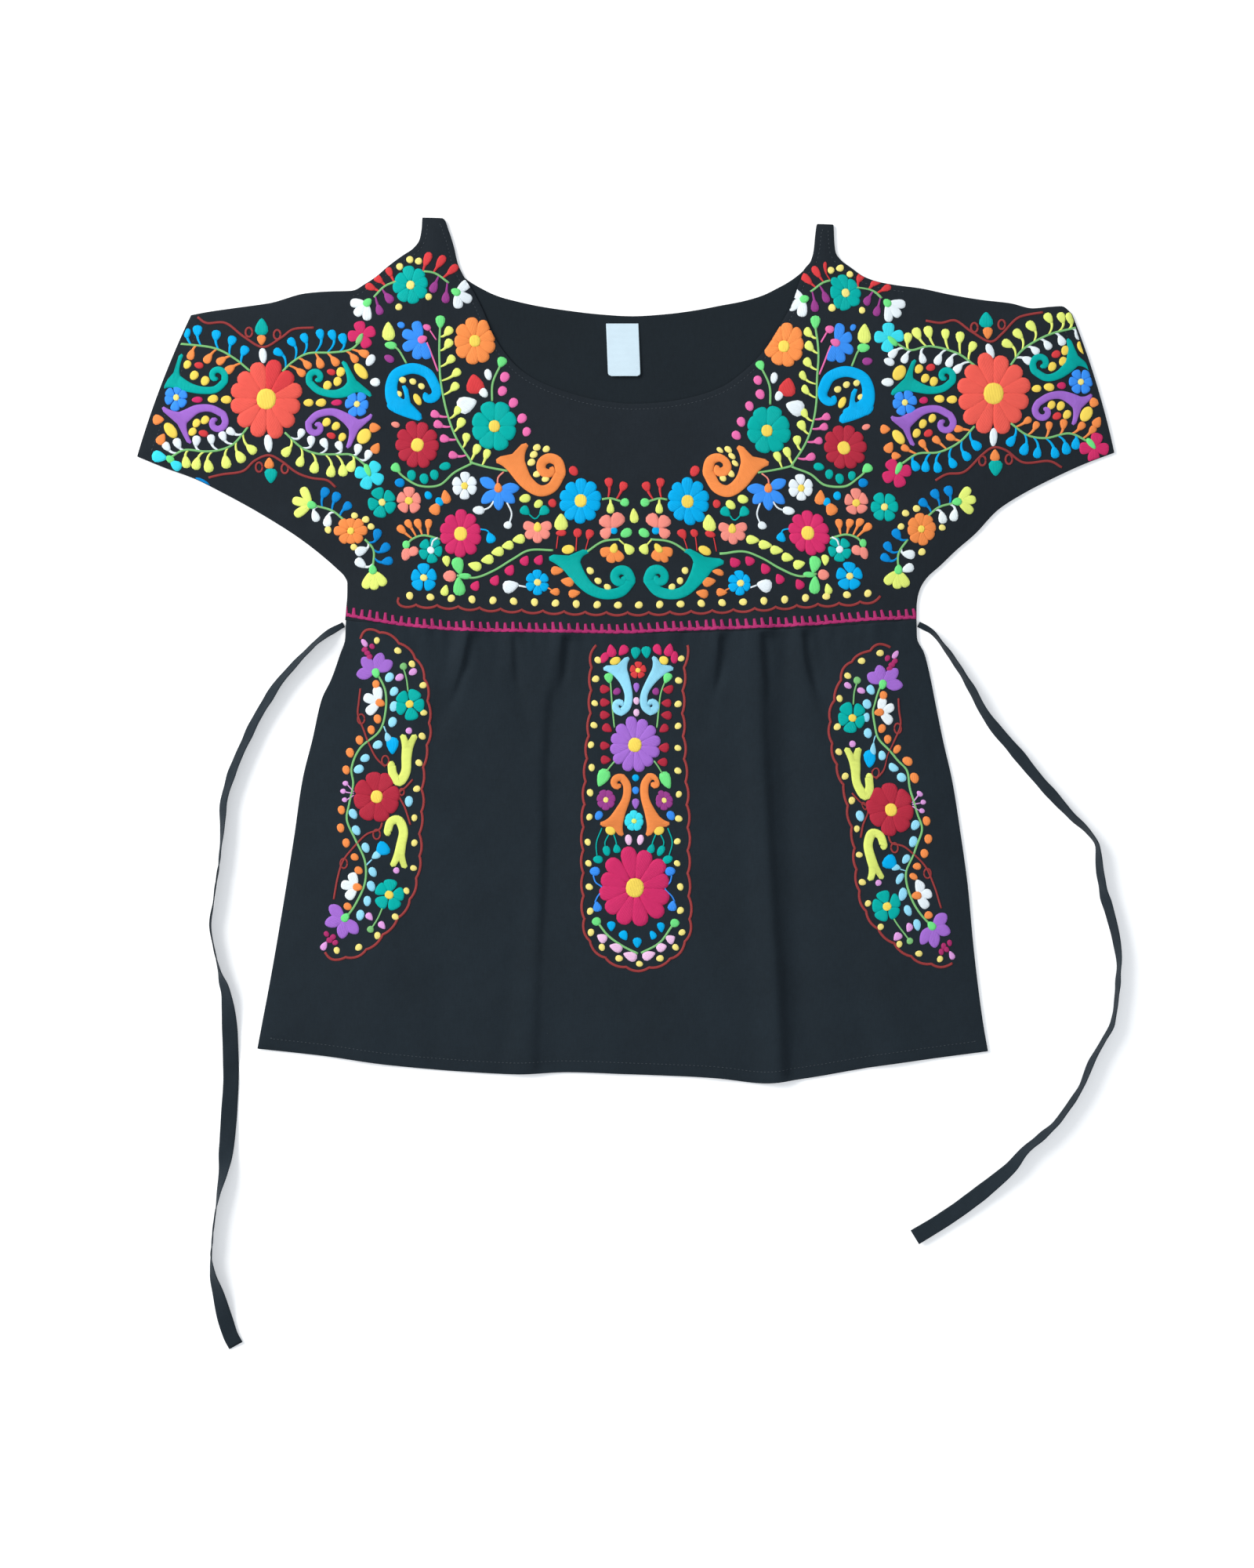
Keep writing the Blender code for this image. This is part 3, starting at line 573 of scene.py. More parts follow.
class LaidCloth:
    """Heights of the laid front: exact for the cloth, and read off a square map for what is sewn on it."""

    STITCH_LINE = {"hemmed": 9.0, "bound": 4.5}
    GROOVE = 0.22
    GROOVE_HALF = 0.9
    SEAM_GROOVE = 0.4
    RIM_DROP = 0.35
    RIM_RUN = 2.2
    LOWEST = 0.8
    PLEAT_START = 1.5
    PLEAT_RUN = 4
    ABOVE_SEAM = 0.35
    HELD_RIPPLE = 0.35
    LEAST_SLOPE = 0.3
    OFF_LINE = 0.6

    def __init__(self, crease_share):
        self.creases = crease_share
        *self.outline, kind = front_edges()
        self.lines = {
            name: tuple(part[kind == name] for part in self.outline) for name in ("sewn", "hemmed", "bound")
        }
        self.xs, self.ys = (np.arange(low, high, MAP_STEP) for low, high in MAP_SPAN)
        gx, gy = np.meshgrid(self.xs, self.ys)
        gaps = self.gaps(gx, gy)
        self.top = self.top_at(gx, gy, gaps)
        nearest = self.nearest(gaps)
        self.inside = np.where(within(gx, gy, *self.outline), nearest, -nearest)
        self.inside_y, self.inside_x = np.gradient(self.inside, MAP_STEP)

    def gaps(self, x, y):
        return {name: from_lines(x, y, *lines) for name, lines in self.lines.items()}

    def nearest(self, gaps):
        return np.minimum(np.minimum(gaps["sewn"], gaps["hemmed"]), gaps["bound"])

    def base(self, x, y, inside):
        """Height of the front's lower side, as in the model: air and folds that die away at its edges. At
        distance d inside, the air is 1 - e^(-d / reach) of its most, and the folds are held alike."""
        air = AIR * (1 - np.exp(-inside / AIR_REACH))
        near_edge = 1 - np.exp(-inside / FOLD_HOLD)
        open_hem = np.clip((-y - OPEN_HEM_START) / OPEN_HEM_RUN, 0, 1)
        off_corner = 1 - np.exp(-abs(abs(x) - HEM_CORNER_X) / HEM_CORNER_RUN)
        folds = fold_height(x, y, FOLDS) * np.maximum(near_edge, open_hem * off_corner)
        return FRONT_BASE + np.maximum(air + folds, 0.0)

    def top_at(self, x, y, gaps):
        """Upper side of the front: the model's, with creases, pleats, tucks, ripples, stitch grooves and a
        round rim. The tucks go on for a short way above the seam, shallower."""
        inside = self.nearest(gaps)
        held = 1 - np.exp(-inside / FOLD_HOLD)
        loose = held + np.exp(-gaps["hemmed"] / FOLD_HOLD) * (y < 0)
        fine = fold_height(x, y, FRONT_CREASES) * np.clip(loose, 0, 1)
        under_seam = np.clip((waist(x) - y - self.PLEAT_START) / self.PLEAT_RUN, 0, 1)
        fine += pleat_height(x, y) * under_seam * np.clip(inside / self.PLEAT_RUN, 0, 1)
        fine += ripple_height(x, y) * (self.HELD_RIPPLE + (1 - self.HELD_RIPPLE) * held)
        above = self.ABOVE_SEAM * tuck_height(x, 2 * waist(x) - y)
        fine += np.where(y < waist(x), tuck_height(x, y), above)
        top = self.base(x, y, inside) + CLOTH + self.creases * fine
        for name, place in self.STITCH_LINE.items():
            top -= self.GROOVE * bell((gaps[name] - place) / self.GROOVE_HALF)
        top -= self.SEAM_GROOVE * bell((y - waist(x)) / self.GROOVE_HALF)
        rim = np.clip(1 - inside / self.RIM_RUN, 0, 1)
        return np.maximum(top, FRONT_BASE + self.LOWEST) - self.RIM_DROP * rim**2

    def shifted(self, x, y, short):
        """Points moved this far further in from the outline, the way that the map of distances rises."""
        way_x, way_y = self.read(self.inside_x, x, y), self.read(self.inside_y, x, y)
        steep = np.maximum(np.hypot(way_x, way_y), self.LEAST_SLOPE)
        return x + short * way_x / steep, y + short * way_y / steep

    def stitch_places(self, name, place, pitch):
        """Places of machine stitches along one kind of edge, this far in from it, with their angles."""
        ax, ay, bx, by = self.lines[name]
        size = np.hypot(bx - ax, by - ay)
        before = running(size)
        at = np.arange(pitch, before[-1], pitch)
        i = np.searchsorted(before, at) - 1
        share = (at - before[i]) / size[i]
        x, y = ax[i] + share * (bx - ax)[i], ay[i] + share * (by - ay)[i]
        for _ in range(5):
            x, y = self.shifted(x, y, place - self.read(self.inside, x, y))
        true = abs(from_lines(x, y, *self.lines[name]) - place) < self.OFF_LINE
        return np.stack([x, y], -1)[true], np.degrees(np.arctan2(by - ay, bx - ax))[i][true]

    def read(self, chart, x, y):
        """A map's value at any place, straight between its four nearest points."""
        fx = np.clip((x - self.xs[0]) / MAP_STEP, 0, len(self.xs) - 1.001)
        fy = np.clip((y - self.ys[0]) / MAP_STEP, 0, len(self.ys) - 1.001)
        i, j = fx.astype(int), fy.astype(int)
        u, v = fx - i, fy - j
        low = chart[j, i] * (1 - u) + chart[j, i + 1] * u
        high = chart[j + 1, i] * (1 - u) + chart[j + 1, i + 1] * u
        return low * (1 - v) + high * v

    def keep_on(self, x, y, margin):
        """Moves points that are past the cloth's edge back to it, and says which they were."""
        past = self.read(self.inside, x, y) < margin
        for _ in range(3):
            x, y = self.shifted(x, y, np.clip(margin - self.read(self.inside, x, y), 0, None))
        return x, y, past


# Meshes


def add_object(name, data):
    made = bpy.data.objects.new(name, data)
    bpy.context.scene.collection.objects.link(made)
    return made


def add_piece(name, points, faces, finish):
    """An object with these points, in millimetres, and faces. It rides on the body and takes a slot."""
    mesh = bpy.data.meshes.new(name)
    mesh.from_pydata((points * MM).tolist(), [], faces)
    mesh.update()
    mesh.shade_smooth()
    mesh.materials.append(finish)
    made = add_object(name, mesh)
    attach(made, "root")
    return made


def quads(at):
    """Faces of a grid of point numbers. The last two axes are rows and columns."""
    around = (at[..., :-1, :-1], at[..., 1:, :-1], at[..., 1:, 1:], at[..., :-1, 1:])
    return np.stack(around, -1).reshape(-1, 4)


def add_wall(name, x, y, low, high, finish):
    """A closed wall over a grid of plan points, between two heights, with a softly rounded rim."""
    points = np.concatenate([np.stack([x, y, z], -1).reshape(-1, 3) for z in (high, low)])
    at = np.arange(x.size).reshape(x.shape)
    top = quads(at)
    foot = top[:, ::-1] + x.size
    rim = np.concatenate([at[:, 0], at[-1, 1:], at[-2::-1, -1], at[0, -2:0:-1]])
    after = np.roll(rim, -1)
    edge = np.stack([after, rim, rim + x.size, after + x.size], -1)
    made = add_piece(name, points, np.concatenate([top, foot, edge]).tolist(), finish)
    soften = made.modifiers.new("Rim", "BEVEL")
    soften.width = RIM_BEVEL * MM
    soften.segments = 2
    soften.limit_method = "ANGLE"
    soften.angle_limit = np.radians(60)
    soften.harden_normals = False
    return made


def write_attributes(made, run, colour=None):
    """The run of the thread as a UV map in millimetres, and the thread's colour at each point."""
    mesh = made.data
    if colour is not None:
        layer = mesh.color_attributes.new("thread", "FLOAT_COLOR", "POINT")
        layer.data.foreach_set("color", np.concatenate([colour, np.ones((len(colour), 1))], 1).ravel())
    corner = np.zeros(len(mesh.loops), int)
    mesh.loops.foreach_get("vertex_index", corner)
    layer = mesh.uv_layers.new(name="run")
    layer.data.foreach_set("uv", run[corner].ravel())


# Finishes. The pitches are millimetres from yarn to yarn.
YARN_PITCH = 0.62
STRAND_PITCH = 0.85
PLY_PITCH = 0.34
RIB_PITCH = 0.7
TAPE_YARN_PITCH = 0.45
LINT_LEVEL = 0.865
LINT_COLOUR = (0.5, 0.52, 0.55, 1)
BLOOM_COLOUR = (0.72, 0.78, 0.86, 1)
# Darker end of the thread's colour: random streaks and patches, and painted shade in the grooves between
# strands
DARK_STREAK_AND_GROOVE_SHADE = (0.70, 0.62, 0.64, 1)
FLOOR_GLOW = (0.95, 0.97, 1, 1)


class Wire:
    """A socket that Python's operators join into Math nodes."""

    def __init__(self, maker, socket):
        self.maker = maker
        self.socket = socket

    def __add__(self, other):
        return self.maker.math("ADD", self, other)

    def __rsub__(self, other):
        return self.maker.math("SUBTRACT", other, self)

    def __mul__(self, other):
        return self.maker.math("MULTIPLY", self, other)

    __radd__ = __add__
    __rmul__ = __mul__


class Finish:
    """A material being wired: one principled shader, and a way to add any node."""

    def __init__(self, name, **constants):
        self.material = bpy.data.materials.new(name)
        self.material.use_nodes = True
        self.tree = self.material.node_tree
        self.shader = self.tree.nodes["Principled BSDF"]
        for socket, value in constants.items():
            self.shader.inputs[socket.replace("_", " ")].default_value = value

    def node(self, kind, settings=None, inputs=None, output=0):
        """A node of a kind, with its settings first, then its sockets' values or links."""
        made = self.tree.nodes.new(kind)
        for name, value in (settings or {}).items():
            setattr(made, name, value)
        for name, value in (inputs or {}).items():
            if isinstance(value, Wire):
                self.tree.links.new(value.socket, made.inputs[name])
            else:
                made.inputs[name].default_value = value
        return Wire(self, made.outputs[output])

    def math(self, operation, *values, clamp=False):
        settings = {"operation": operation, "use_clamp": clamp}
        return self.node("ShaderNodeMath", settings, dict(enumerate(values)))

    def wave(self, angle):
        return self.math("SINE", angle)

    def mix(self, share, first, second, blend="MIX"):
        """Mixes two colours."""
        settings = {"data_type": "RGBA", "blend_type": blend}
        return self.node("ShaderNodeMix", settings, {0: share, 6: first, 7: second}, 2)

    def scaled(self, vector, sizes):
        return self.node("ShaderNodeVectorMath", {"operation": "MULTIPLY"}, {0: vector, 1: sizes})

    def noise(self, vector, sizes, detail=2.0, rough=0.5):
        """Noise whose grains have these frequencies along the axes."""
        inputs = {"Vector": self.scaled(vector, sizes), "Scale": 1.0, "Detail": detail, "Roughness": rough}
        return self.node("ShaderNodeTexNoise", inputs=inputs)

    def object_mm(self):
        """The place on the object in millimetres."""
        return self.scaled(self.node("ShaderNodeTexCoord", output="Object"), (1 / MM,) * 3)

    def run(self):
        """The place along and across the thread or ribbon, from the UV map."""
        return self.node("ShaderNodeUVMap", {"uv_map": "run"})

    def parts(self, vector):
        split = self.node("ShaderNodeSeparateXYZ", inputs={0: vector})
        return Wire(self, split.socket.node.outputs["X"]), Wire(self, split.socket.node.outputs["Y"])

    def bump(self, height, distance, strength=1.0):
        inputs = {"Strength": strength, "Distance": distance * MM, "Height": height}
        return self.node("ShaderNodeBump", inputs=inputs)

    def give(self, **sockets):
        """Links what varies over the surface to the shader."""
        for name, wire in sockets.items():
            self.tree.links.new(wire.socket, self.shader.inputs[name.replace("_", " ")])
        return self.material


def shade(colour, share=1.0):
    """A colour made lighter or darker, with its alpha."""
    return tuple(min(part * share, 1.0) for part in colour) + (1,)


def weave(finish, place, pitch):
    """Plain weave: two sets of ridges, uneven along their yarns, that pass over one another in turn."""
    x, y = finish.parts(place)
    turn = 2 * np.pi / pitch
    warp = finish.wave(x * turn + finish.noise(place, (0.9, 0.05, 0.4)) * 3.0)
    weft = finish.wave(y * turn + finish.noise(place, (0.05, 0.9, 0.4)) * 3.0)
    over = warp * weft
    return over * 0.25 + (warp + weft) * 0.18 + 0.5


def cotton(name, colour, on_run=False):
    """Black plain-weave cotton: matt, uneven in the yarn, with a little lint and a faint bloom."""
    finish = Finish(name, Roughness=0.88, Sheen_Weight=0.06, Sheen_Roughness=0.45, Specular_IOR_Level=0.16)
    finish.shader.inputs["Sheen Tint"].default_value = BLOOM_COLOUR
    place = finish.run() if on_run else finish.object_mm()
    cloth = weave(finish, place, YARN_PITCH)
    slub = finish.noise(place, (1.1, 0.16, 1), 3.0)
    cross = finish.noise(place, (0.14, 1.2, 1), 3.0)
    cloud = finish.noise(place, (0.018,) * 3, 3.0, 0.6)
    mottle = finish.noise(place, (0.33, 0.22, 0.3), 2.0, 0.55)
    worn = slub * 0.30 + cross * 0.22 + cloud * 0.55 + mottle * 0.30 + cloth * 0.30
    lint = finish.math("GREATER_THAN", finish.noise(place, (0.75,) * 3, 1.0), LINT_LEVEL)
    tone = finish.math("SUBTRACT", worn, 0.34, clamp=True)
    base = finish.mix(tone, shade(colour, 0.66), shade(colour, 1.42))
    base = finish.mix(lint * 0.12, base, LINT_COLOUR)
    relief = cloth + slub * 0.8 + cross * 0.8 + mottle * 1.6
    return finish.give(Base_Color=base, Roughness=worn * 0.12 + 0.80, Normal=finish.bump(relief, 0.10, 0.8))


def satin_thread():
    """Stranded thread: its colour and run come from the stitching, its strands and streaks from the run. It
    is darker in random streaks and patches, and between strands as painted shade.
    """
    finish = Finish("embroidery_thread", Specular_IOR_Level=0.06)
    dye = finish.node("ShaderNodeAttribute", {"attribute_name": "thread"}, output="Color")
    run = finish.run()
    along, across = finish.parts(run)
    wander = finish.noise(run, (0.25, 0.9, 0), 1.0)
    strand = finish.wave(across * (2 * np.pi / STRAND_PITCH) + wander * 4.0)
    ply = finish.wave(across * (2 * np.pi / PLY_PITCH) + along * 2.1)
    streak = finish.noise(run, (0.14, 2.3, 0), 2.0, 0.6)
    patch = finish.noise(run, (0.12, 0.3, 0), 2.0)
    # The strand term paints shade into the grooves between strands; streak and patch are random tone
    tone = strand * 0.06 + streak * 0.42 + patch * 0.30
    deep = finish.mix(1.0, dye, DARK_STREAK_AND_GROOVE_SHADE, "MULTIPLY")
    base = finish.mix(finish.math("ADD", tone, 0.36, clamp=True), deep, dye)
    relief = strand * 0.5 + ply * 0.12 + streak * 1.3
    rough = 0.62 - streak * 0.22
    return finish.give(Base_Color=base, Roughness=rough, Normal=finish.bump(relief, 0.16, 0.85))


def sewing_thread(colour):
    """Fine twisted sewing thread on the hems."""
    finish = Finish("sewing_thread", Roughness=0.6, Sheen_Weight=0.1)
    twist = finish.noise(finish.object_mm(), (2.2,) * 3, 2.0)
    base = finish.mix(twist, shade(colour, 0.9), shade(colour, 2.3))
    return finish.give(Base_Color=base, Roughness=twist * 0.2 + 0.5, Normal=finish.bump(twist, 0.1))


def label_tape(colour):
    """White woven tape with fine ribs, blank."""
    finish = Finish("woven_tape", Specular_IOR_Level=0.2)
    place = finish.object_mm()
    x, y = finish.parts(place)
    rib = finish.wave(y * (2 * np.pi / RIB_PITCH) + finish.noise(place, (0.2, 0.6, 1)) * 2.0)
    yarn = finish.wave(x * (2 * np.pi / TAPE_YARN_PITCH))
    soil = finish.noise(place, (0.09,) * 3, 3.0)
    tone = rib * 0.08 + yarn * 0.04 + soil * 0.5
    base = finish.mix(finish.math("ADD", tone, 0.35, clamp=True), shade(colour, 0.82), shade(colour))
    return finish.give(
        Base_Color=base, Roughness=soil * 0.15 + 0.42, Normal=finish.bump(rib * 0.6 + yarn * 0.3, 0.08)
    )


def plain_floor(colour):
    """A plain pale surface with the faintest tooth of card, lit a little from within like a light table."""
    finish = Finish("plain_floor", Specular_IOR_Level=0.1, Emission_Strength=0.3)
    finish.shader.inputs["Emission Color"].default_value = FLOOR_GLOW
    tooth = finish.noise(finish.object_mm(), (0.6,) * 3, 2.0)
    base = finish.mix(tooth, shade(colour, 0.985), shade(colour))
    return finish.give(Base_Color=base, Roughness=tooth * 0.05 + 0.9)


# Stitching

# Charts are drawn on squared paper. A place is in squares from the sheet's top left corner, x right and y
# down, and places in a row run x, y, x, y.
SQUARE = 0.61
SHEET_MIDDLE = (797.5, 829.3)
SINK = 0.45
EDGE_MARGIN = 0.4
EDGE_RISE = 0.1
RIM = 0.99
TWIST = 0.55
FEATHER = (0.0, 0.42, 0.72, 0.92, 1.0)
BAND_PLACES = 5
HORN_PLACES = 13
HORN_STEP = 2.4


def disc(sectors, radii):
    """A disc of rings, closed underneath: distance and angle of its points, and its faces."""
    angle = np.linspace(0, 2 * np.pi, sectors, endpoint=False)
    ring = np.array(radii[1:])
    r = np.concatenate([[0.0], np.repeat(ring, sectors)])
    a = np.concatenate([[0.0], np.tile(angle, len(ring))])
    at = 1 + np.arange(len(ring) * sectors).reshape(len(ring), sectors)
    after = np.roll(at, -1, axis=1)
    faces = [(0, m, n) for m, n in zip(at[0], after[0])]
    for k in range(len(ring) - 1):
        faces += list(zip(at[k], at[k + 1], after[k + 1], after[k]))
    faces.append(tuple(at[-1][::-1]))
    return r, a, [tuple(int(v) for v in face) for face in faces]


PETAL = disc(18, FEATHER)
SEED = disc(12, (0.0, 0.55, 0.9, 1.0))
DASH = disc(8, (0.0, 0.7, 1.0))


def ways(degrees):
    """Unit vectors at these angles."""
    turn = np.radians(degrees)
    return np.stack([np.cos(turn), np.sin(turn)], -1)


def turns_of(way):
    """Angles of vectors in degrees."""
    return np.degrees(np.arctan2(way[..., 1], way[..., 0]))


def rounded(count):
    """Places from -1 to 1 across a rounded band, closer together at its sides: sines of even angles."""
    return np.sin(np.linspace(-np.pi / 2, np.pi / 2, count))


def curve(points, step):
    """Evenly spaced points on the smooth line through some points. Of four in a row, a, b, c and d, the
    middle two are joined by the cubic whose slopes are half of c - a and half of d - b."""
    p = np.array(points, float)
    if len(p) == 2:
        fine = p[0] + (p[1] - p[0]) * np.linspace(0, 1, 12)[:, None]
    else:
        ends = np.concatenate([[2 * p[0] - p[1]], p, [2 * p[-1] - p[-2]]])
        t = np.linspace(0, 1, 14, endpoint=False)[None, :, None]
        a, b, c, d = (ends[i : len(ends) - 3 + i, None, :] for i in range(4))
        square, cube = 2 * a - 5 * b + 4 * c - d, 3 * b - a - 3 * c + d
        runs = 0.5 * (2 * b + (c - a) * t + square * t**2 + cube * t**3)
        fine = np.concatenate([runs.reshape(-1, 2), p[-1:]])
    far = running(np.hypot(*np.diff(fine, axis=0).T))
    at = np.linspace(0, far[-1], max(int(round(far[-1] / step)) + 1, 4))
    return np.stack([np.interp(at, far, fine[:, k]) for k in range(2)], -1)


def sideways(path):
    """Unit vectors to the left of a line at each of its points. The last two axes are points and x, y."""
    way = np.gradient(path, axis=-2)
    way = way / np.maximum(np.linalg.norm(way, axis=-1, keepdims=True), 1e-9)
    return np.stack([-way[..., 1], way[..., 0]], -1)


class Needlework:
    """Raised stitching for one part. Shapes are made in squares, y up, then laid on the cloth."""

    # How high each kind of stitching stands, as shares of a large petal's height
    RISES = {
        "large flower": 1.0,
        "flower": 0.78,
        "small flower": 0.6,
        "bloom": 0.62,
        "fan": 0.66,
        "heart": 0.55,
        "calyx": 0.5,
        "calyx lift": 0.45,
        "seed": 0.62,
        "drop": 0.65,
        "bud": 0.66,
        "vine": 0.5,
        "stalk": 0.45,
        "horn": 0.95,
        "mouth": 0.8,
        "scallop": 0.42,
        "dot": 0.6,
        "rope": 0.6,
        "upright": 0.5,
    }
    # A flower is large over the first radius, in squares, and small up to the second
    LARGE_OVER = 24
    SMALL_TO = 14
    # Shares of a flower's radius: where its petals start, where they are widest, and their greatest width
    CORE = 0.16
    WIDEST_AT = 0.72
    WIDEST = 0.82
    BLOOM_SPREAD = 125
    CALYX = (13.5, 10.5)
    # Along a horn: how much its curl tightens, how slim its band starts, and where its flare begins to widen
    CURL_IN = 0.78
    BAND_SLIM = 0.84
    FLARE_FROM = 0.6
    # How round a horn's tips are, and how far they bulge, as shares of its width
    TIP_ROUND = 0.36
    TIP_BULGE = 0.22

    def __init__(self, cloth, threads, pad, seed):
        self.cloth = cloth
        self.threads = threads
        self.pad = pad
        self.chance = np.random.default_rng(seed)
        self.points, self.runs, self.dyes, self.faces = [], [], [], []
        self.count = 0
        self.turned = None

    def chart(self, places):
        """Places on the sheet as squares from its middle, y up."""
        p = np.array(places, float).reshape(-1, 2)
        return np.stack([p[:, 0] - SHEET_MIDDLE[0], SHEET_MIDDLE[1] - p[:, 1]], -1)

    def rise(self, kind):
        """Height of a kind of stitching in millimetres."""
        return self.pad * self.RISES[kind]

    def uneven(self, spread, count):
        """Shares about 1 that make stitches differ a little in size."""
        return self.chance.uniform(1 - spread, 1 + spread, count)

    def put(self, x, y, rise, along, across, colour, faces):
        """Adds points, in squares with their rise in millimetres, and faces. A colour is a thread's name."""
        if self.turned:
            x, y = self.turned(x, y)
            faces = [face[::-1] for face in faces]
        x, y, past = self.cloth.keep_on(x.ravel() * SQUARE, y.ravel() * SQUARE, EDGE_MARGIN)
        rise = rise.ravel()
        z = self.cloth.read(self.cloth.top, x, y) + np.where(past, np.minimum(rise, EDGE_RISE), rise)
        self.points.append(np.stack([x, y, z], -1))
        self.runs.append(np.stack([along.ravel(), across.ravel()], -1) * SQUARE)
        dye = np.array(self.threads[colour]) * self.chance.uniform(0.95, 1.04)
        self.dyes.append(np.broadcast_to(np.clip(dye, 0, 1), (x.size, 3)))
        self.faces.extend(tuple(v + self.count for v in face) for face in faces)
        self.count += x.size

    def pads(self, middle, long, wide, turn, colour, taper=0.0, rise=1.0, lift=0.0, full=1.0, form=SEED):
        """Domed pads of satin stitch, one at each place. At distance r and angle a on a disc, a pad's point
        is r cos a along it and r sin a (1 + taper r cos a) across it, with both the cosine and the sine to
        the power full, and it rises as (1 - r^4)^0.5."""
        r, a, faces = form
        n = len(middle)
        sizes = (np.broadcast_to(np.asarray(v, float), (n,))[:, None] for v in (long, wide, turn, rise))
        long, wide, turn, rise = sizes
        s = r * np.sign(np.cos(a)) * abs(np.cos(a)) ** full
        t = r * np.sign(np.sin(a)) * abs(np.sin(a)) ** full
        lx = s * long / 2
        ly = t * wide / 2 * (1 + taper * s)
        turn = np.radians(turn)
        x = middle[:, :1] + lx * np.cos(turn) - ly * np.sin(turn)
        y = middle[:, 1:] + lx * np.sin(turn) + ly * np.cos(turn)
        height = lift + rise * np.sqrt(1 - r**4) - SINK * (r > RIM)
        phase = self.chance.uniform(0, 40, (n, 1))
        every = [tuple(v + i * len(r) for v in face) for i in range(n) for face in faces]
        self.put(x, y, height + 0 * x, lx + phase, ly + phase, colour, every)

    def grid(self, x, y, rise, along, across, colour):
        """Strips of a grid, closed at their ends and underneath. Axes are strip, station and place across."""
        at = np.arange(x.size).reshape(x.shape)
        faces = quads(at).tolist()
        under = np.stack([at[:, :-1, 0], at[:, :-1, -1], at[:, 1:, -1], at[:, 1:, 0]], -1)
        faces += under.reshape(-1, 4).tolist()
        faces += at[:, 0, :].tolist() + at[:, -1, ::-1].tolist()
        self.put(x, y, rise, along, across, colour, [tuple(face) for face in faces])

    def bands(self, paths, wide, colour, rise=0.8, lift=0.0):
        """Rounded bands along paths: wide is their width at each station, and they rise as (1 - t^4)^0.5."""
        paths = np.asarray(paths, float)
        wide = np.broadcast_to(wide, paths.shape[:2])[..., None]
        t = rounded(BAND_PLACES)
        side = sideways(paths)
        x = paths[..., :1] + side[..., :1] * wide / 2 * t
        y = paths[..., 1:] + side[..., 1:] * wide / 2 * t
        steps = np.linalg.norm(np.diff(paths, axis=1, prepend=paths[:, :1]), axis=-1)
        far = np.cumsum(steps, axis=1)[..., None]
        ends = np.ones(paths.shape[1])
        ends[0] = ends[-1] = 0.45
        height = lift + rise * ends[:, None] * np.sqrt(np.clip(1 - t**4, 0, 1)) - SINK * (abs(t) > RIM)
        twist = far * TWIST + wide / 2 * t
        self.grid(x, y, height + 0 * x, far - wide * t, twist, colour)

    # The chart's words. Sizes are in squares, and angles in degrees anticlockwise from the right.

    def flower(self, colour, x, y, radius, petals, turn, eye=0.0, eye_colour="yellow", odd=None, tall=0.11):
        """Petals round a middle: each is about as wide as its share of the ring at three quarters of the way
        out. Flowers of five or six have slimmer ones. tall is how much longer upright petals are than level
        ones, and odd names a second thread and the petals that are stitched in it."""
        size = "large " if radius > self.LARGE_OVER else "" if radius > self.SMALL_TO else "small "
        rise = self.rise(size + "flower")
        ring = turn + 360 / petals * (np.arange(petals) + self.chance.uniform(-0.07, 0.07, petals))
        grow = self.uneven(0.05, petals)
        inner = self.CORE * radius
        long = (radius * (1 - 0.55 * tall + tall * np.sin(np.radians(ring)) ** 2) - inner) * grow
        core = self.chart((x, y))
        middle = core + (inner + long / 2)[:, None] * ways(ring)
        wide = 2 * self.WIDEST_AT * radius * np.tan(np.pi / max(petals, 5)) / 1.15
        wide = wide * 1.17 if petals > 6 else min(wide * 0.96, self.WIDEST * radius)
        picked = np.isin(np.arange(petals), odd[1] if odd else ())
        for thread, one in ((odd and odd[0], picked), (colour, ~picked)):
            if one.any():
                self.pads(middle[one], long[one], wide, ring[one], thread, 0.5, rise, 0, 0.92, PETAL)
        if eye:
            sizes = (2.16 * eye, 2.0 * eye, 70 + turn)
            self.pads(core, *sizes, eye_colour, 0, rise * 0.75, rise * 0.5, 0.9, PETAL)

    def bloom(self, colour, x, y, radius, lobes, aim, calyx="leaf"):
        """A side-on bloom: lobes fanned over most of a circle that leave room for a calyx at its back."""
        fan = np.linspace(-self.BLOOM_SPREAD, self.BLOOM_SPREAD, lobes) + aim
        base = self.chart((x, y))
        middle = base + 0.52 * radius * ways(fan)
        sizes = (1.02 * radius, 0.80 * radius)
        self.pads(middle, *sizes, fan, colour, 0.35, self.rise("bloom"), 0, 0.85, PETAL)
        back = base - 0.32 * radius * ways(aim)
        sizes = (0.95 * radius, 0.42 * radius)
        self.pads(back, *sizes, aim, calyx, -0.2, self.rise("calyx"), self.rise("calyx lift"))

    def fan(self, colour, x, y, reach, wide, aims, calyx, full=0.82):
        """A bloom seen from its side: petals at these angles from one base that merge at its heart, and a
        calyx over them. full is under 1 for round petals and over 1 for pointed ones."""
        base = self.chart((x, y))
        way = ways(aims)
        long = 0.98 * reach * self.chance.uniform(0.94, 1.05, len(aims))
        taper = 0.3 / full - 0.1
        middle = base + 0.52 * reach * way
        self.pads(middle, long, wide, aims, colour, taper, self.rise("fan"), 0, full, PETAL)
        ahead = way.mean(axis=0) / np.linalg.norm(way.mean(axis=0))
        turn = turns_of(ahead)
        heart = base + 0.2 * reach * ahead
        self.pads(heart, 0.5 * reach, 0.8 * wide, turn, colour, 0, self.rise("heart"))
        self.pads(base - 1.5 * ahead, *self.CALYX, turn, calyx, 0.25, *[self.rise("calyx")] * 2)

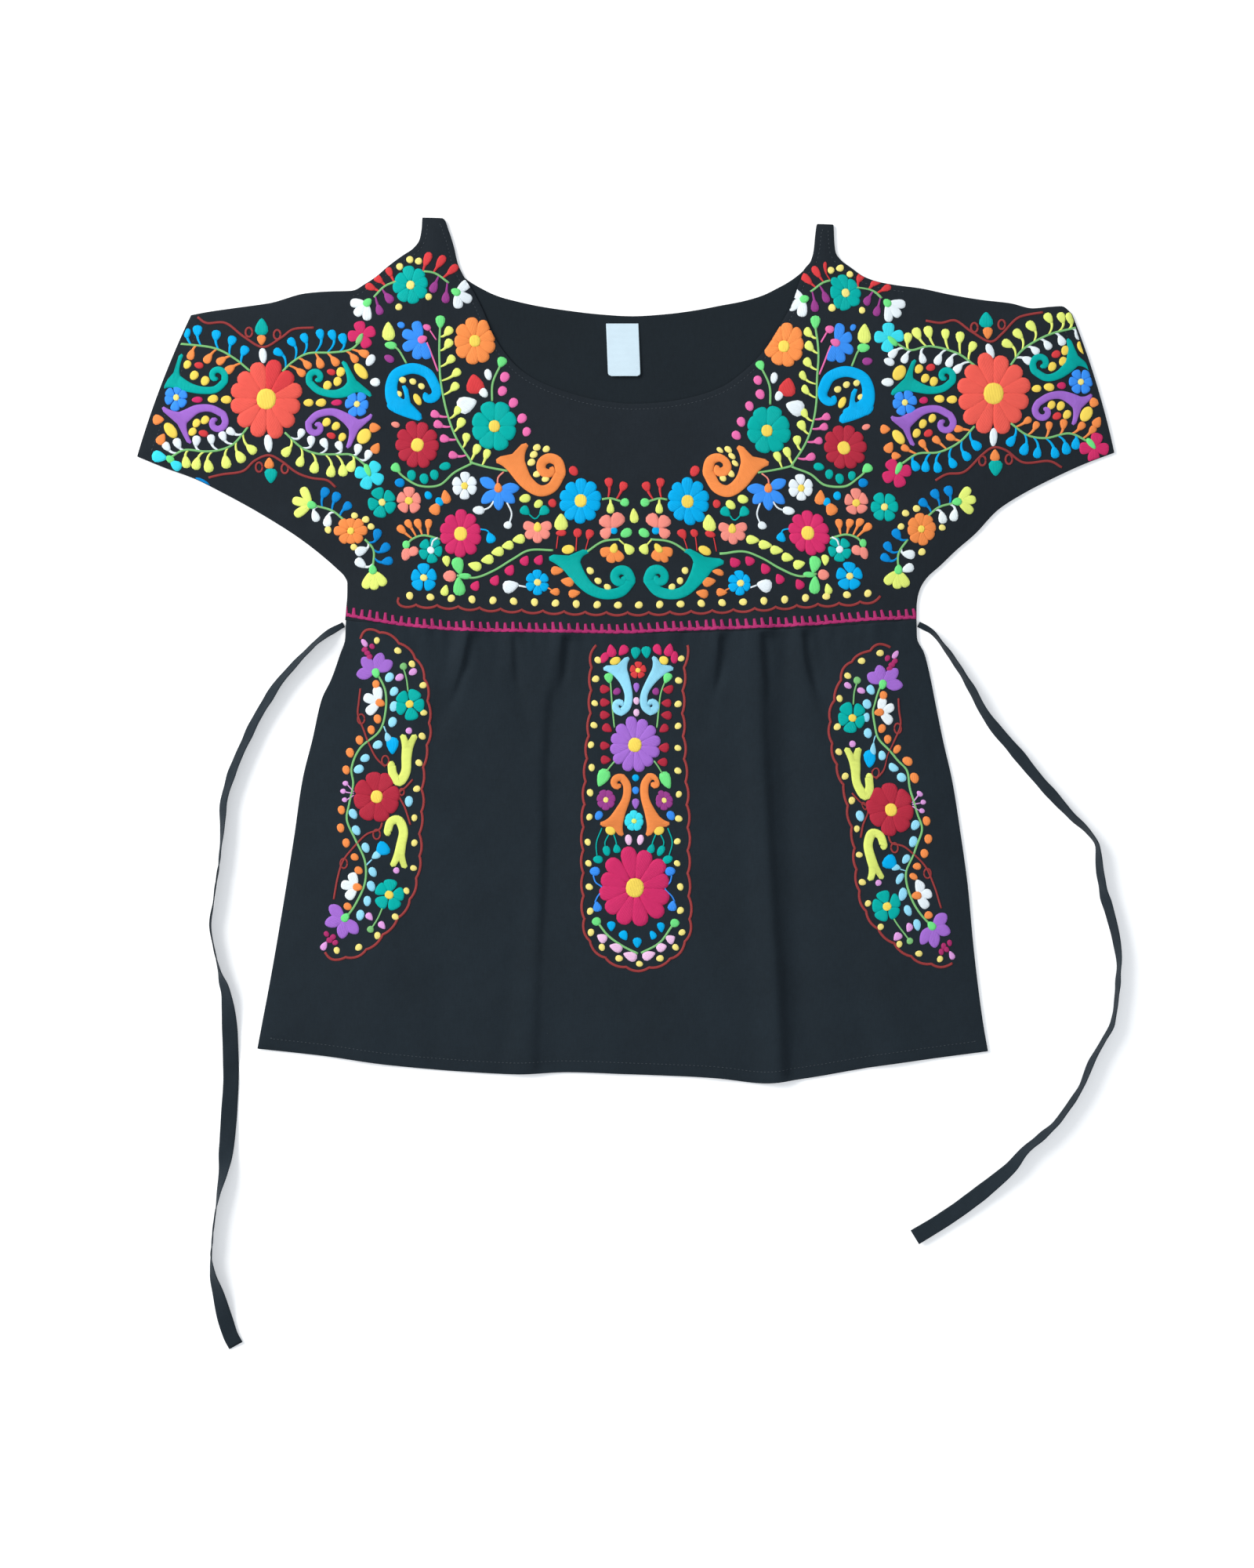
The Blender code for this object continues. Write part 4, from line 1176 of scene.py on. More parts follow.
    def seeds(self, colour, long, wide, aim, *places):
        """Small pads. aim is their angle, or None for a slightly different one each."""
        middle = self.chart(places)
        n = len(middle)
        turn = self.chance.uniform(0, 180, n) if aim is None else aim + self.chance.uniform(-9, 9, n)
        size = self.uneven(0.06, n)
        self.pads(middle, long * size, wide * size, turn, colour, 0.12, self.rise("seed"))

    def drops(self, colour, long, wide, aim, *places):
        """Pads with one narrow end. They point that end at a place, or at an angle."""
        middle = self.chart(places)
        turn = turns_of(middle - self.chart(aim)) if np.ndim(aim) else aim + 180.0
        size = self.uneven(0.05, len(middle))
        self.pads(middle, long * size, wide * size, turn, colour, 0.5, self.rise("drop"))

    def vine(self, colour, points, wide=3.3, lift=0.0):
        path = curve(self.chart(points), 2.6)
        self.bands(path[None], wide, colour, self.rise("vine"), lift)
        return path

    def sprig(self, colour, points, *buds, back=1):
        """A vine with buds. Each row of buds is thread, length, width, lean and the places of its heads."""
        path = self.vine(colour, points)
        for row in buds:
            self.buds(path, back, *row)

    def spray(self, colour, points, *buds):
        """A sprig whose stalks lean back towards the start of the vine."""
        self.sprig(colour, points, *buds, back=3)

    def buds(self, path, back, thread, long, wide, lean, places):
        """Heads on stalks to a line, back this many of its steps from the nearest point. A head is turned by
        lean from the way it stands off the line. Its stalk goes from its narrow end a to the foot c by a
        corner b: (1 - s)^2 a + 2 s (1 - s) b + s^2 c."""
        heads = self.chart(places)
        near = np.linalg.norm(heads[:, None] - path[None], axis=-1).argmin(axis=1)
        foot = path[np.clip(near - back, 0, len(path) - 1)]
        far = np.linalg.norm(heads - foot, axis=1)
        size = self.uneven(0.06, len(heads))
        turn = turns_of(heads - foot) + lean + self.chance.uniform(-5, 5, len(heads))
        axis = ways(turn)
        sizes = (long * size, 0.94 * wide * size)
        self.pads(heads, *sizes, turn, thread, 0.42, self.rise("bud"), 0, 0.96)
        reach = far > 0.5 * long
        if not reach.any():
            return
        near_end = (heads - axis * 0.28 * long)[reach][:, None]
        corner = (heads - axis * (0.5 * long + 0.2 * far[:, None]))[reach][:, None]
        s = np.linspace(0, 1, 8)[None, :, None]
        paths = (1 - s) ** 2 * near_end + 2 * s * (1 - s) * corner + s * s * foot[reach][:, None]
        self.bands(paths, np.linspace(4.6, 2.2, 8)[None, :], thread, self.rise("stalk"))

    def line(self, colour, points, wide=2.8, loops=(), loop_size=6.0):
        """A fine line with small loops that stand on it."""
        self.vine(colour, points, wide)
        a = np.linspace(0, 2 * np.pi, 17)
        for place in self.chart(loops):
            ring = place + np.stack([0.72 * loop_size * np.cos(a), loop_size * np.sin(a)], -1)
            self.bands(ring[None], wide * 0.9, colour, self.rise("stalk"))

    def horn(self, colour, tips, spine, curl, wide, mouth=None, neck=0.9, turns=0.95, deep=0.16):
        """A curled horn: an even band that follows a spine from a curl, widens and flares to two blunt tips.
        The curl winds in round its middle, and its radius shrinks with the share of its turns to the power
        0.9. The flare's lines go from the band's end a by a corner b to places c from tip to tip, hollow in
        their middle: (1 - v)^2 a + 2 v (1 - v) b + v^2 c. mouth is the place and size of a pad over the
        hollow."""
        tip = self.chart(tips)
        body = self.chart(spine)
        middle = self.chart(curl)[0]
        arm = body[-1] - middle
        heading = body[-1] - body[-2]
        sense = np.sign(arm[0] * heading[1] - arm[1] * heading[0])
        wind = np.linspace(0, 1, 26)[1:]
        angle = np.arctan2(arm[1], arm[0]) + sense * wind * turns * 2 * np.pi
        radius = np.linalg.norm(arm) * (1 - self.CURL_IN * wind**0.9)
        spiral = middle + radius[:, None] * np.stack([np.cos(angle), np.sin(angle)], -1)
        path = curve(np.concatenate([body, spiral[::3]]), HORN_STEP)[::-1]
        close = np.linalg.norm(path - tip.mean(axis=0), axis=1) < 1.25 * wide
        path = path[: len(path) - int(np.argmin(close[::-1]))]
        share = np.linspace(0, 1, len(path))
        width = wide * (self.BAND_SLIM + (1 - self.BAND_SLIM) * np.clip(share / 0.5, 0, 1))
        width += wide * neck * np.clip((share - self.FLARE_FROM) / (1 - self.FLARE_FROM), 0, 1) ** 2
        width *= np.sqrt(np.clip(share / 0.05, 0.18, 1))
        t = rounded(HORN_PLACES)
        band = path[:, None] + sideways(path)[:, None] * width[:, None, None] / 2 * t[:, None]
        end = band[-1]
        ahead = path[-1] - path[-2]
        ahead = ahead / np.linalg.norm(ahead)
        left = np.cross(np.append(ahead, 0), np.append(tip[0] - path[-1], 0))[2] > 0
        right_tip, left_tip = (tip[1], tip[0]) if left else (tip[0], tip[1])
        hollow = (1 - deep) * tip.mean(axis=0) + deep * path[-1]
        arms = np.where(t[:, None] > 0, left_tip, right_tip)
        way = (arms - path[-1]) / np.linalg.norm(arms - path[-1], axis=1, keepdims=True)
        outer = np.sign(t)[:, None] * np.stack([-way[:, 1], way[:, 0]], -1) * self.TIP_ROUND * wide
        pull = np.clip(abs(t) / 0.75, 0, 1)[:, None] ** 1.15
        round_tip = np.clip(4 * abs(t) - 3, 0, 1)[:, None]
        goal = hollow + pull * (arms - outer - hollow) + round_tip * 2 * outer
        goal += way * self.TIP_BULGE * wide * np.sin(np.pi * round_tip)
        bend = end + ahead * np.linalg.norm(hollow - path[-1]) * 0.38 + 0.3 * (goal - end)
        v = np.linspace(0, 1, 12)[1:, None, None]
        flare = (1 - v) ** 2 * end + 2 * v * (1 - v) * bend + v**2 * goal
        x, y = np.moveaxis(np.concatenate([band, flare]), -1, 0)
        rows = len(x)
        fall = np.concatenate([np.ones(len(path)), np.sqrt(np.clip(1 - v[:, 0, 0] ** 5, 0, 1))])
        fall[0] = 0.2
        height = self.rise("horn") * fall[:, None] * (1 - abs(t) ** 3.5) ** 0.5
        height -= SINK * ((abs(t) > RIM) | (np.arange(rows)[:, None] == rows - 1))
        far = np.arange(rows)[:, None] * HORN_STEP + 0 * t
        over = np.concatenate([width, np.full(len(v), width[-1])])[:, None] / 2 * t
        self.grid(x[None], y[None], height[None], over[None], far[None] + 0.5 * over[None], colour)
        if mouth:
            place, sizes = self.chart(mouth[:2]), mouth[2:]
            turn = turns_of(tip[0] - tip[1])
            self.pads(place, *sizes, turn, "yellow", 0, self.rise("mouth"), 0.1, form=PETAL)

    def scallops(self, colour, points, period, bulge, wide):
        """A line of arcs: it stands off its path by bulge times a half sine to the power 0.7, each period."""
        path = curve(self.chart(points), 1.5)
        far = running(np.linalg.norm(np.diff(path, axis=0), axis=1))
        arcs = max(round(far[-1] / period), 1)
        off = bulge * abs(np.sin(np.pi * arcs * far / far[-1])) ** 0.7
        self.bands((path + sideways(path) * off[:, None])[None], wide, colour, self.rise("scallop"))

    def dots(self, colour, long, wide, points, pitch):
        """Small pads, each turned its own way, at even steps along a smooth line."""
        path = curve(self.chart(points), pitch)
        turn = self.chance.uniform(0, 180, len(path))
        self.pads(path, long, wide, turn, colour, 0.1, self.rise("dot"))

    def blanket(self, colour, points, pitch, tall, rope=4.6):
        """Blanket stitch: a rope of short overlapping stitches along a line, and uprights that narrow."""
        path = curve(self.chart(points), pitch)
        count = len(path)
        left = sideways(path)
        ahead = np.stack([left[:, 1], -left[:, 0]], -1)
        turn = turns_of(ahead) + self.chance.uniform(2, 12, count)
        self.pads(path, 1.5 * pitch, rope, turn, colour, 0.2, self.rise("rope"))
        lean = self.chance.uniform(-0.22, -0.02, (count, 1))
        up = (left + lean * ahead) * self.chance.uniform(0.88, 1.10, (count, 1))
        s = np.linspace(0, 1, 5)
        wide = 7.2 - 3.4 * s**0.7
        uprights = path[:, None] + up[:, None] * tall * s[None, :, None]
        self.bands(uprights, wide[None], colour, self.rise("upright"))

    def work(self, rows, turned=None):
        """Stitches a chart. A row is a word, a thread, and what the word takes for each time that it is used.
        turned maps the chart's places for a mirrored copy."""
        self.turned = turned
        for word, thread, *uses in rows:
            for use in uses:
                getattr(self, word)(thread, *use)

    def finish(self, name, thread):
        made = add_piece(name, np.concatenate(self.points), self.faces, thread)
        write_attributes(made, np.concatenate(self.runs), np.concatenate(self.dyes))


# The stitching charts, in squares of the sheet

LEFT_SLEEVE = (
    ("line", "rust", ((252, 404, 264, 412, 288, 412, 312, 430, 336, 443, 359, 431, 375, 420, 401, 418), 3.6,
     (318, 424, 354, 427)), ((266, 609, 284, 605, 310, 601, 325, 588, 343, 581, 359, 588, 379, 603, 398,
     610, 418, 613, 429, 622), 3.6, (331, 596, 364, 598))),
    ("spray", "vine", ((320, 474, 299, 457, 273, 444, 229, 438), ("sky", 15, 12.5, -14,
     (238, 425, 252, 422, 276, 428, 296, 435, 312, 448)), ("orange", 16, 11, 12,
     (244, 452, 266, 457, 283, 460, 294, 471))),
     ((361, 474, 375, 461, 394, 451, 424, 450, 448, 446, 463, 432), ("sky", 16, 11.5, 34, (356, 450, 373,
     437, 389, 432, 409, 427, 424.5, 428, 438, 433)), ("orange", 16, 11, -8, (384, 475, 392, 465, 408.5,
     463, 427.5, 461, 452, 457, 464, 451))), ((317, 545, 299, 566, 281, 574, 262, 576, 236, 574, 218, 583),
     ("white", 15, 11, -28, (213, 570, 227, 566, 251, 563, 270, 561, 285, 557, 295.5, 551)), ("lime", 18,
     13, 24, (237.5, 589, 251, 591, 266, 594, 288.5, 589, 306.5, 582.5, 321, 573))),
     ((364, 552, 385, 571, 405, 579, 431, 580, 450, 581, 468, 595), ("white", 15, 11, 58, (384.5, 553.5,
     397.5, 563, 414.5, 566, 433.5, 569.5, 457, 573.5, 470, 581)), ("lime", 17, 12.5, -24, (366.5, 576, 384,
     588.5, 402, 596, 423, 601, 438, 600, 449, 594.5)))),
    ("bloom", "cerise", (462, 427.5, 18, 4, 62, "vine")),
    ("bloom", "cyan", (472, 606, 19, 4, -68)),
    ("drops", "cyan", (21, 14.5, (217, 585), 203.5, 582.5), (18, 13, (216, 587), 224, 593)),
    ("seeds", "leaf", (13, 10, -40, 217, 585.5)),
    ("horn", "teal", ((232, 451, 209, 493), (226, 487, 241, 494, 258, 498, 275, 497, 286, 488), (277, 480),
     9.5), ((438, 461, 474, 505), (456, 488, 443, 499, 427, 503, 408, 499, 396, 489), (404, 482), 9.5,
     (461, 474, 25, 13))),
    ("horn", "purple", ((207, 520, 243, 566), (226, 538, 238, 530, 252, 522, 269, 521, 284, 528),
     (277, 539), 9.5, (218, 549, 24, 14)), ((475, 530, 444, 572),
     (455, 545, 442, 534, 425, 526, 406, 529, 395, 539), (404, 545), 9.5, (465, 557, 22, 17))),
    ("flower", "royal", (225, 507, 16.5, 6, 20, 4, "straw"), (456, 516, 16.5, 6, 0, 4, "straw")),
    ("seeds", "cerise", (16, 9, 5, 252, 510, 430, 514)),
    ("seeds", "yellow", (14, 10.5, 10, 272, 509, 289, 510, 394, 514, 410, 514), (13, 11, 60, 239, 465, 248,
     479, 262, 486, 435, 475, 431, 487, 418, 492), (13, 10.5, 50, 262, 536, 251, 540, 246, 551, 417, 539,
     429, 544, 437, 558)),
    ("seeds", "scarlet", (13, 9, -15, 254, 466, 423, 475, 260, 553, 423, 556)),
    ("drops", "orange", (16, 13, 0, 202, 535, 479, 546), (16, 12, 60, 206, 560, 480, 572)),
    ("seeds", "white", (18, 12, 55, 473, 460), (14, 12, 0, 479, 488)),
    ("seeds", "deep", (24, 9, -28, 258, 615)),
    ("drops", "teal", (24, 17, 90, 334, 417)),
    ("drops", "orange", (15, 12, 270, 334, 434), (15, 12, 90, 344, 591)),
    ("drops", "teal", (20, 16, 270, 346, 607)),
    ("flower", "coral", (340.5, 509.5, 49.5, 12, 15, 13, "yellow", ("scarlet", (1, 2)))),
    ("seeds", "white", (21, 10.5, 100, 336, 454), (24, 11, 98, 343, 566)),
)

RIGHT_SLEEVE = (
    ("line", "rust", ((1181, 409, 1200, 412, 1219, 409, 1239, 423, 1263, 436, 1278, 426, 1295, 408, 1308,
     402, 1331, 398), 3.6, (1243, 418, 1278, 414)), ((1193, 613, 1208, 605, 1230, 602, 1252, 581, 1267, 571,
     1284, 575, 1306, 590, 1338, 588, 1355, 596), 3.6, (1253, 588, 1287, 586))),
    ("spray", "vine", ((1244, 467, 1221, 451, 1187, 442, 1161, 447, 1143, 438), ("lime", 17, 12, -10, (1158,
     432, 1170, 426, 1184.5, 424, 1206, 427, 1224.5, 431, 1240, 443)), ("white", 16, 10.5, 24, (1139.5, 451,
     1154.5, 457, 1176.5, 457, 1197, 458.5, 1211.5, 461.5, 1222, 470))),
     ((1289, 466, 1306, 445, 1338, 427, 1375, 417), ("lime", 17, 12, 32, (1285.5, 439, 1299, 426.5, 1316,
     416.5, 1338, 406, 1354.5, 405.5, 1366, 406)), ("white", 15, 11, -24,
     (1310, 459.5, 1320, 447, 1336, 440, 1354, 434, 1376, 426))),
     ((1243, 544, 1224, 564, 1198, 577, 1171, 579, 1150, 592), ("orange", 14, 10, 0,
     (1223, 547.5, 1213, 558.5, 1195, 562, 1177, 567, 1155, 572.5)), ("sky", 17, 12, 26, (1167, 594, 1180.5,
     595, 1195.5, 596, 1214.5, 590.5, 1232, 581.5, 1244.5, 568))),
     ((1289, 540, 1310, 555, 1334, 559, 1364, 553, 1388, 563), ("orange", 14, 10, 12, (1310, 537, 1321,
     543.5, 1338, 544, 1356.5, 541.5, 1379, 544, 1393.5, 548.5)), ("sky", 17, 12, -24, (1290, 562.5, 1307,
     572.5, 1323.5, 577, 1345.5, 577, 1360, 571.5, 1372.5, 565.5)))),
    ("bloom", "cyan", (1134, 431, 19, 4, 135)),
    ("bloom", "cerise", (1143.5, 603.5, 19, 4, 247), (1396, 570.5, 19, 4, -50)),
    ("horn", "teal", ((1167, 459, 1137, 503), (1153, 487, 1167, 493, 1185, 498, 1202, 496, 1214, 487),
     (1206, 480), 9.5, (1147, 476, 22, 16)), ((1363, 432, 1392, 471),
     (1372, 456, 1362, 469, 1349, 479, 1334, 482, 1320, 474), (1328, 464), 9.5, (1382, 443, 20, 13))),
    ("horn", "purple", ((1137, 533, 1165, 569), (1150, 543, 1163, 533, 1178, 524, 1195, 522, 1210, 529),
     (1205, 541), 9.5, (1146, 558, 22, 13)), ((1393, 504, 1369, 542),
     (1379, 517, 1367, 509, 1353, 504, 1338, 506, 1326, 513), (1331, 525), 9.5, (1386, 528, 22, 15))),
    ("flower", "royal", (1154, 514, 16.5, 6, 10, 4, "straw"), (1379, 487, 16.5, 6, 0, 4, "straw")),
    ("seeds", "cerise", (13, 10, 5, 1178, 511, 1354, 492)),
    ("seeds", "yellow", (14, 10.5, 0, 1198, 509, 1214, 510, 1322, 496, 1338, 494), (13, 10.5, 60, 1172, 471,
     1180, 483, 1191, 487, 1342, 468, 1356, 461, 1359, 447), (13, 10, 60, 1189, 534, 1177, 541, 1169, 553,
     1341, 517, 1353, 518, 1361, 529)),
    ("seeds", "scarlet", (13, 10, 20, 1187, 469, 1184, 553, 1347, 452, 1348, 531)),
    ("seeds", "white", (16, 11, -30, 1134, 462), (16, 11, 0, 1132, 488)),
    ("drops", "orange", (14, 12, 0, 1129, 548, 1397, 513), (16, 12, 60, 1134, 571, 1400, 538),
     (13, 10, 0, 1143, 582)),
    ("drops", "teal", (21, 17, 90, 1258, 408)),
    ("drops", "orange", (16, 12, 270, 1260, 425), (16, 12, 90, 1269, 581)),
    ("drops", "teal", (21, 17, 270, 1270, 597)),
    ("flower", "coral", (1267, 502.5, 50.5, 12, 15, 13.5)),
    ("seeds", "white", (22, 10.5, 105, 1263, 448), (25, 10.5, 94, 1267, 558)),
)

LEFT_UNDERARM = (
    ("sprig", "vine", ((440, 664, 423, 651, 397, 644), ("deep", 15.5, 12, -14,
     (414.5, 629, 429, 635, 443, 646.5)), ("white", 18, 12, 36, (402.5, 658, 418.5, 664))),
     ((466, 688, 477, 702, 476, 724), ("deep", 16.5, 11.5, 36, (481.5, 682.5, 491, 699.5, 494, 716)),
     ("white", 18, 12.5, -33, (461.5, 702.5, 460.5, 718.5)))),
    ("fan", "lime", (397, 644, 25, 11.5, (116, 165, 214), "leaf"), (476, 728, 25, 12.5, (244, 275, 311),
     "leaf")),
    ("seeds", "straw", (10, 9, None, 453, 658, 467, 663, 474, 672, 452, 698, 419, 676)),
    ("flower", "orange", (448, 677.5, 19, 8, 0, 4.5, "yellow", None, -0.28)),
    ("flower", "teal", (488, 641, 19, 5, 41, 4.5, "straw")),
)

RIGHT_UNDERARM = (
    ("sprig", "vine", ((1182, 660, 1198, 647, 1221, 641), ("deep", 15, 12, 14,
     (1178, 642, 1193, 631, 1210, 627)), ("white", 17, 11.5, -36, (1202, 660, 1217, 657))),
     ((1158, 688, 1146, 707, 1147, 731), ("deep", 16, 11.5, -36, (1144, 682, 1133, 698, 1130, 712)),
     ("white", 17, 12, 33, (1159, 707, 1158, 725)))),
    ("fan", "lime", (1222, 640, 24, 11.5, (50, 8, -36), "leaf"), (1146, 728, 24, 12.5, (224, 266, 300),
     "leaf")),
    ("seeds", "straw", (10, 9, None, 1169, 649, 1155, 655, 1149, 672, 1202, 673, 1176, 704)),
    ("flower", "orange", (1175, 675, 20, 8, 10, 4.5)),
    ("flower", "teal", (1128, 647, 19, 6, 0, 4.5, "straw")),
)

# The left shoulder; the right one is its mirrored copy
SHOULDER = (
    ("sprig", "vine", ((508, 358, 491, 365, 477, 379), ("scarlet", 16, 10, 0,
     (473, 366, 483, 356, 497, 347)), ("plum", 16, 11, 0, (496, 380, 484, 395))),
     ((540, 346, 556, 349, 573, 361), ("scarlet", 21, 11, 0, (545, 331, 562, 334, 577, 344)), ("plum", 17,
     11, 0, (554, 366, 569, 379)))),
    ("fan", "white", (468, 387, 22, 12, (178, 226, 272), "leaf"), (583, 373, 21.5, 12.5, (42, -30, -84),
     "leaf")),
    ("seeds", "straw", (10, 9.5, None, 510, 340, 523, 331, 534, 333, 509, 392, 547, 379)),
    ("flower", "teal", (524, 364, 24, 8, 10, 5.5, "straw")),
)

# The left side of the yoke; the right side is its mirrored copy
YOKE_SIDE = (
    ("line", "vine", ((500, 441, 509, 447, 519, 464), 3)),
    ("drops", "lime", (27, 17, 92, 496, 423)),
    ("seeds", "leaf", (18, 11, -12, 499, 441)),
    ("seeds", "royal", (11, 9, -30, 512, 415)),
    ("line", "pink", ((545, 437, 552, 455, 559, 474), 2.6), ((549, 422, 557, 434), 2.2)),
    ("seeds", "pink", (12, 9, -25, 545, 418)),
    ("fan", "royal", (538, 434, 26, 13.5, (108, 158, 206, 254, 290), "pink")),
    ("seeds", "plum", (15, 10, -20, 497, 458)),
    ("spray", "vine", ((603, 591, 583, 560, 571, 528, 563, 490, 561, 461, 561, 436, 562, 414), ("lime", 15,
     11.5, 14, (572, 423, 572, 439, 575, 459, 582, 476, 580, 494, 584, 524, 588, 540, 595, 559)), ("pink",
     14, 11, -14, (556, 529, 560, 542, 568, 560, 579, 581)))),
    ("drops", "leaf", (18, 12, 270, 562, 411)),
    ("sprig", "vine", ((603, 591, 580, 603, 561, 619, 536, 620, 516, 609, 506, 599),),
     ((600, 590, 622, 596, 648, 601), ("lime", 16, 11, 0, (608, 574, 621, 580)))),
    ("drops", "leaf", (15, 12, -42, 506, 597.5)),
    ("horn", "sky", ((516, 493, 538, 533.5), (518, 522, 507.5, 517, 501, 507, 500, 491, 507, 477, 527,
     470.5, 546, 477, 555.5, 493), (547, 502), 14, (533, 510, 17, 9), 0.5, 0.66, 0.12)),
    ("seeds", "sky", (19, 12.5, -32, 502, 519.5), (25, 13, -8, 521, 522)),
    ("seeds", "straw", (10, 8.5, -30, 514, 485, 527, 487, 538, 493, 509, 503)),
    ("sprig", "vine", ((628, 512, 629, 488, 640, 463),)),
    ("drops", "leaf", (15, 12, 250, 640, 462)),
    ("seeds", "white", (16, 10, 110, 623, 478), (15, 11, 125, 617, 501)),
    ("drops", "scarlet", (26, 22, 100, 606, 490)),
    ("drops", "white", (27, 21, 20, 596, 516)),
    ("seeds", "pink", (14, 12, 60, 644, 481, 641, 499, 655, 514, 666, 534, 672, 551)),
    ("seeds", "salmon", (12, 8, -15, 505, 542)),
    ("seeds", "teal", (16, 11, 15, 568, 595), (14, 11.5, 100, 554.5, 606, 541.5, 611, 525.5, 606.5)),
    ("seeds", "deep", (13, 11.5, 0, 510.3, 616)),
    ("flower", "orange", (606, 435, 29, 9, 20, 7.5)),
    ("flower", "teal", (631, 544, 31, 8, 22, 7.5)),
    ("flower", "crimson", (533, 568, 30, 10, 0, 8.5)),
    ("flower", "white", (593, 620, 17, 6, 30, 4.5)),
    ("flower", "salmon", (522, 639, 17, 5, 90, 5)),
    ("seeds", "sky", (12.5, 10.5, -60, 546.7, 632, 561, 640)),
    ("drops", "orange", (20, 13, 100, 569, 634), (18, 15, 60, 556, 649)),
    ("line", "salmon", ((643, 602, 636, 609, 635, 618), 2.6)),
    ("line", "white", ((631, 638, 625, 647, 616, 651), 2.6), ((647, 641, 653, 655, 650, 668), 2.6)),
    ("seeds", "white", (17, 12, 5, 611, 651), (12, 11, 10, 648, 670)),
    ("fan", "royal", (636, 624, 28, 15, (150, 3, -40, 220, 271), "orange", 1.25)),
    ("horn", "orange", ((671, 567, 635, 587), (658, 593, 671, 614, 688, 626, 704, 622, 714, 606),
     (700, 597), 14, None, 0.8, 1.15, 0.1)),
    ("seeds", "straw", (11, 9, 30, 685, 571, 697, 573, 681, 580, 678, 590, 685, 605, 696, 611)),
    ("seeds", "scarlet", (15, 12, 120, 732, 601), (12, 11, 120, 705, 642)),
    ("seeds", "lime", (16, 12, 10, 670, 636), (14, 11, 30, 687, 643)),
    ("drops", "teal", (15, 12, -40, 670.5, 652), (15, 12, 220, 694, 652)),
    ("line", "teal", ((674, 655, 683, 662, 690, 655), 2.2)),
    ("fan", "salmon", (686, 674, 19, 12.5, (166, 218, 270, 322, 14), "yellow", 0.9)),
    ("drops", "lime", (23, 17, 90, 716, 666)),
    ("seeds", "scarlet", (15, 9, 0, 716, 680)),
    ("line", "scarlet", ((712, 684, 710, 700), 1.8), ((736, 684, 735, 703), 1.8), ((752, 684, 747, 702),
     1.8)),
    ("seeds", "scarlet", (12, 11, 90, 737, 680)),
    ("drops", "scarlet", (15, 11, 250, 752, 682)),
    ("flower", "sky", (741, 639, 29, 10, 18, 8.2)),
    ("sprig", "vine", ((562, 688, 541, 683, 526, 688, 518, 697), ("orange", 15, 10, 0,
     (513, 676, 522, 669, 534, 669, 547, 669)))),
    ("seeds", "leaf", (12, 10.5, 90, 518.5, 695)),
    ("seeds", "salmon", (17, 12.5, 80, 518.5, 707), (15, 12.5, 30, 527.5, 703.5)),
    ("flower", "teal", (550, 702, 16, 5, 60, 4.6, "white")),
    ("vine", "white", ((551, 697, 553, 690, 559, 686), 2.8, 0.5)),
    ("line", "sky", ((612, 675, 622, 677, 626, 684), 2.4)),
    ("drops", "sky", (15, 12, 110, 626, 686)),
    ("flower", "cerise", (588, 681, 29.5, 10, 18, 8.8)),
    ("sprig", "vine", ((583, 734, 606, 737, 630, 728, 655, 713, 676, 702, 706, 702),)),
    ("drops", "lime", (17, 12, 190, 662, 688, 648, 696, 635, 704, 622, 714), (19, 12, 165, 606, 722)),
    ("drops", "cerise", (15, 12, 60, 688, 714, 670, 715, 651, 727, 632, 740, 607, 747)),
    ("drops", "lime", (15, 10, 280, 570, 716), (15, 10, 75, 568, 753)),
    ("drops", "leaf", (24, 15, 285, 585, 722), (25, 15, 95, 586, 748)),
    ("seeds", "leaf", (18, 8, 5, 593, 735)),
    ("seeds", "salmon", (17, 15, 0, 574, 735)),
    ("flower", "sky", (541, 737, 18, 5, 90, 4.5, "straw"), (686, 743, 16, 6, 90, 4.5, "straw")),
    ("line", "white", ((662, 747, 672, 749), 2.6)),
    ("drops", "white", (22, 16, 15, 652, 748)),
    ("line", "orange", ((698, 749, 706, 754), 2.2)),
    ("drops", "orange", (17, 11, 0, 711, 728), (18, 12, 170, 724, 742), (14, 10, 180, 708, 755),
     (17, 11, 10, 733, 757)),
    ("horn", "teal", ((702, 711, 749, 703), (727, 717, 738, 735, 753, 751, 772, 758, 792, 755, 804, 742),
     (792, 737), 13.5, (725, 701, 17, 12), 0.75, 1.15, 0.08)),
    ("seeds", "straw", (11, 9, -40, 753, 728, 763, 741, 775, 749)),
    ("sprig", "vine", ((768, 637, 780, 636, 796, 641), ("scarlet", 14, 11.5, 10, (777, 616, 795, 621)),
     ("lime", 15, 10, 0, ((779, 648),)))),
    ("seeds", "leaf", (13, 12, 0, 797, 641)),
    ("drops", "salmon", (21, 17, -50, 774, 666.5), (24, 17, 235, 786.5, 665), (18, 14, 40, 774, 679.5)),
    ("seeds", "sky", (11, 10, 0, 783, 677)),
    ("sprig", "vine", ((749, 704, 769, 691, 791, 688),)),
    ("line", "lime", ((789, 688, 797, 695), 2.4)),
    ("seeds", "leaf", (16, 12, 20, 799, 680)),
    ("drops", "lime", (17, 12, 130, 802, 700)),
    ("fan", "orange", (783, 701, 18, 12.5, (197, 255, 306), "yellow")),
)

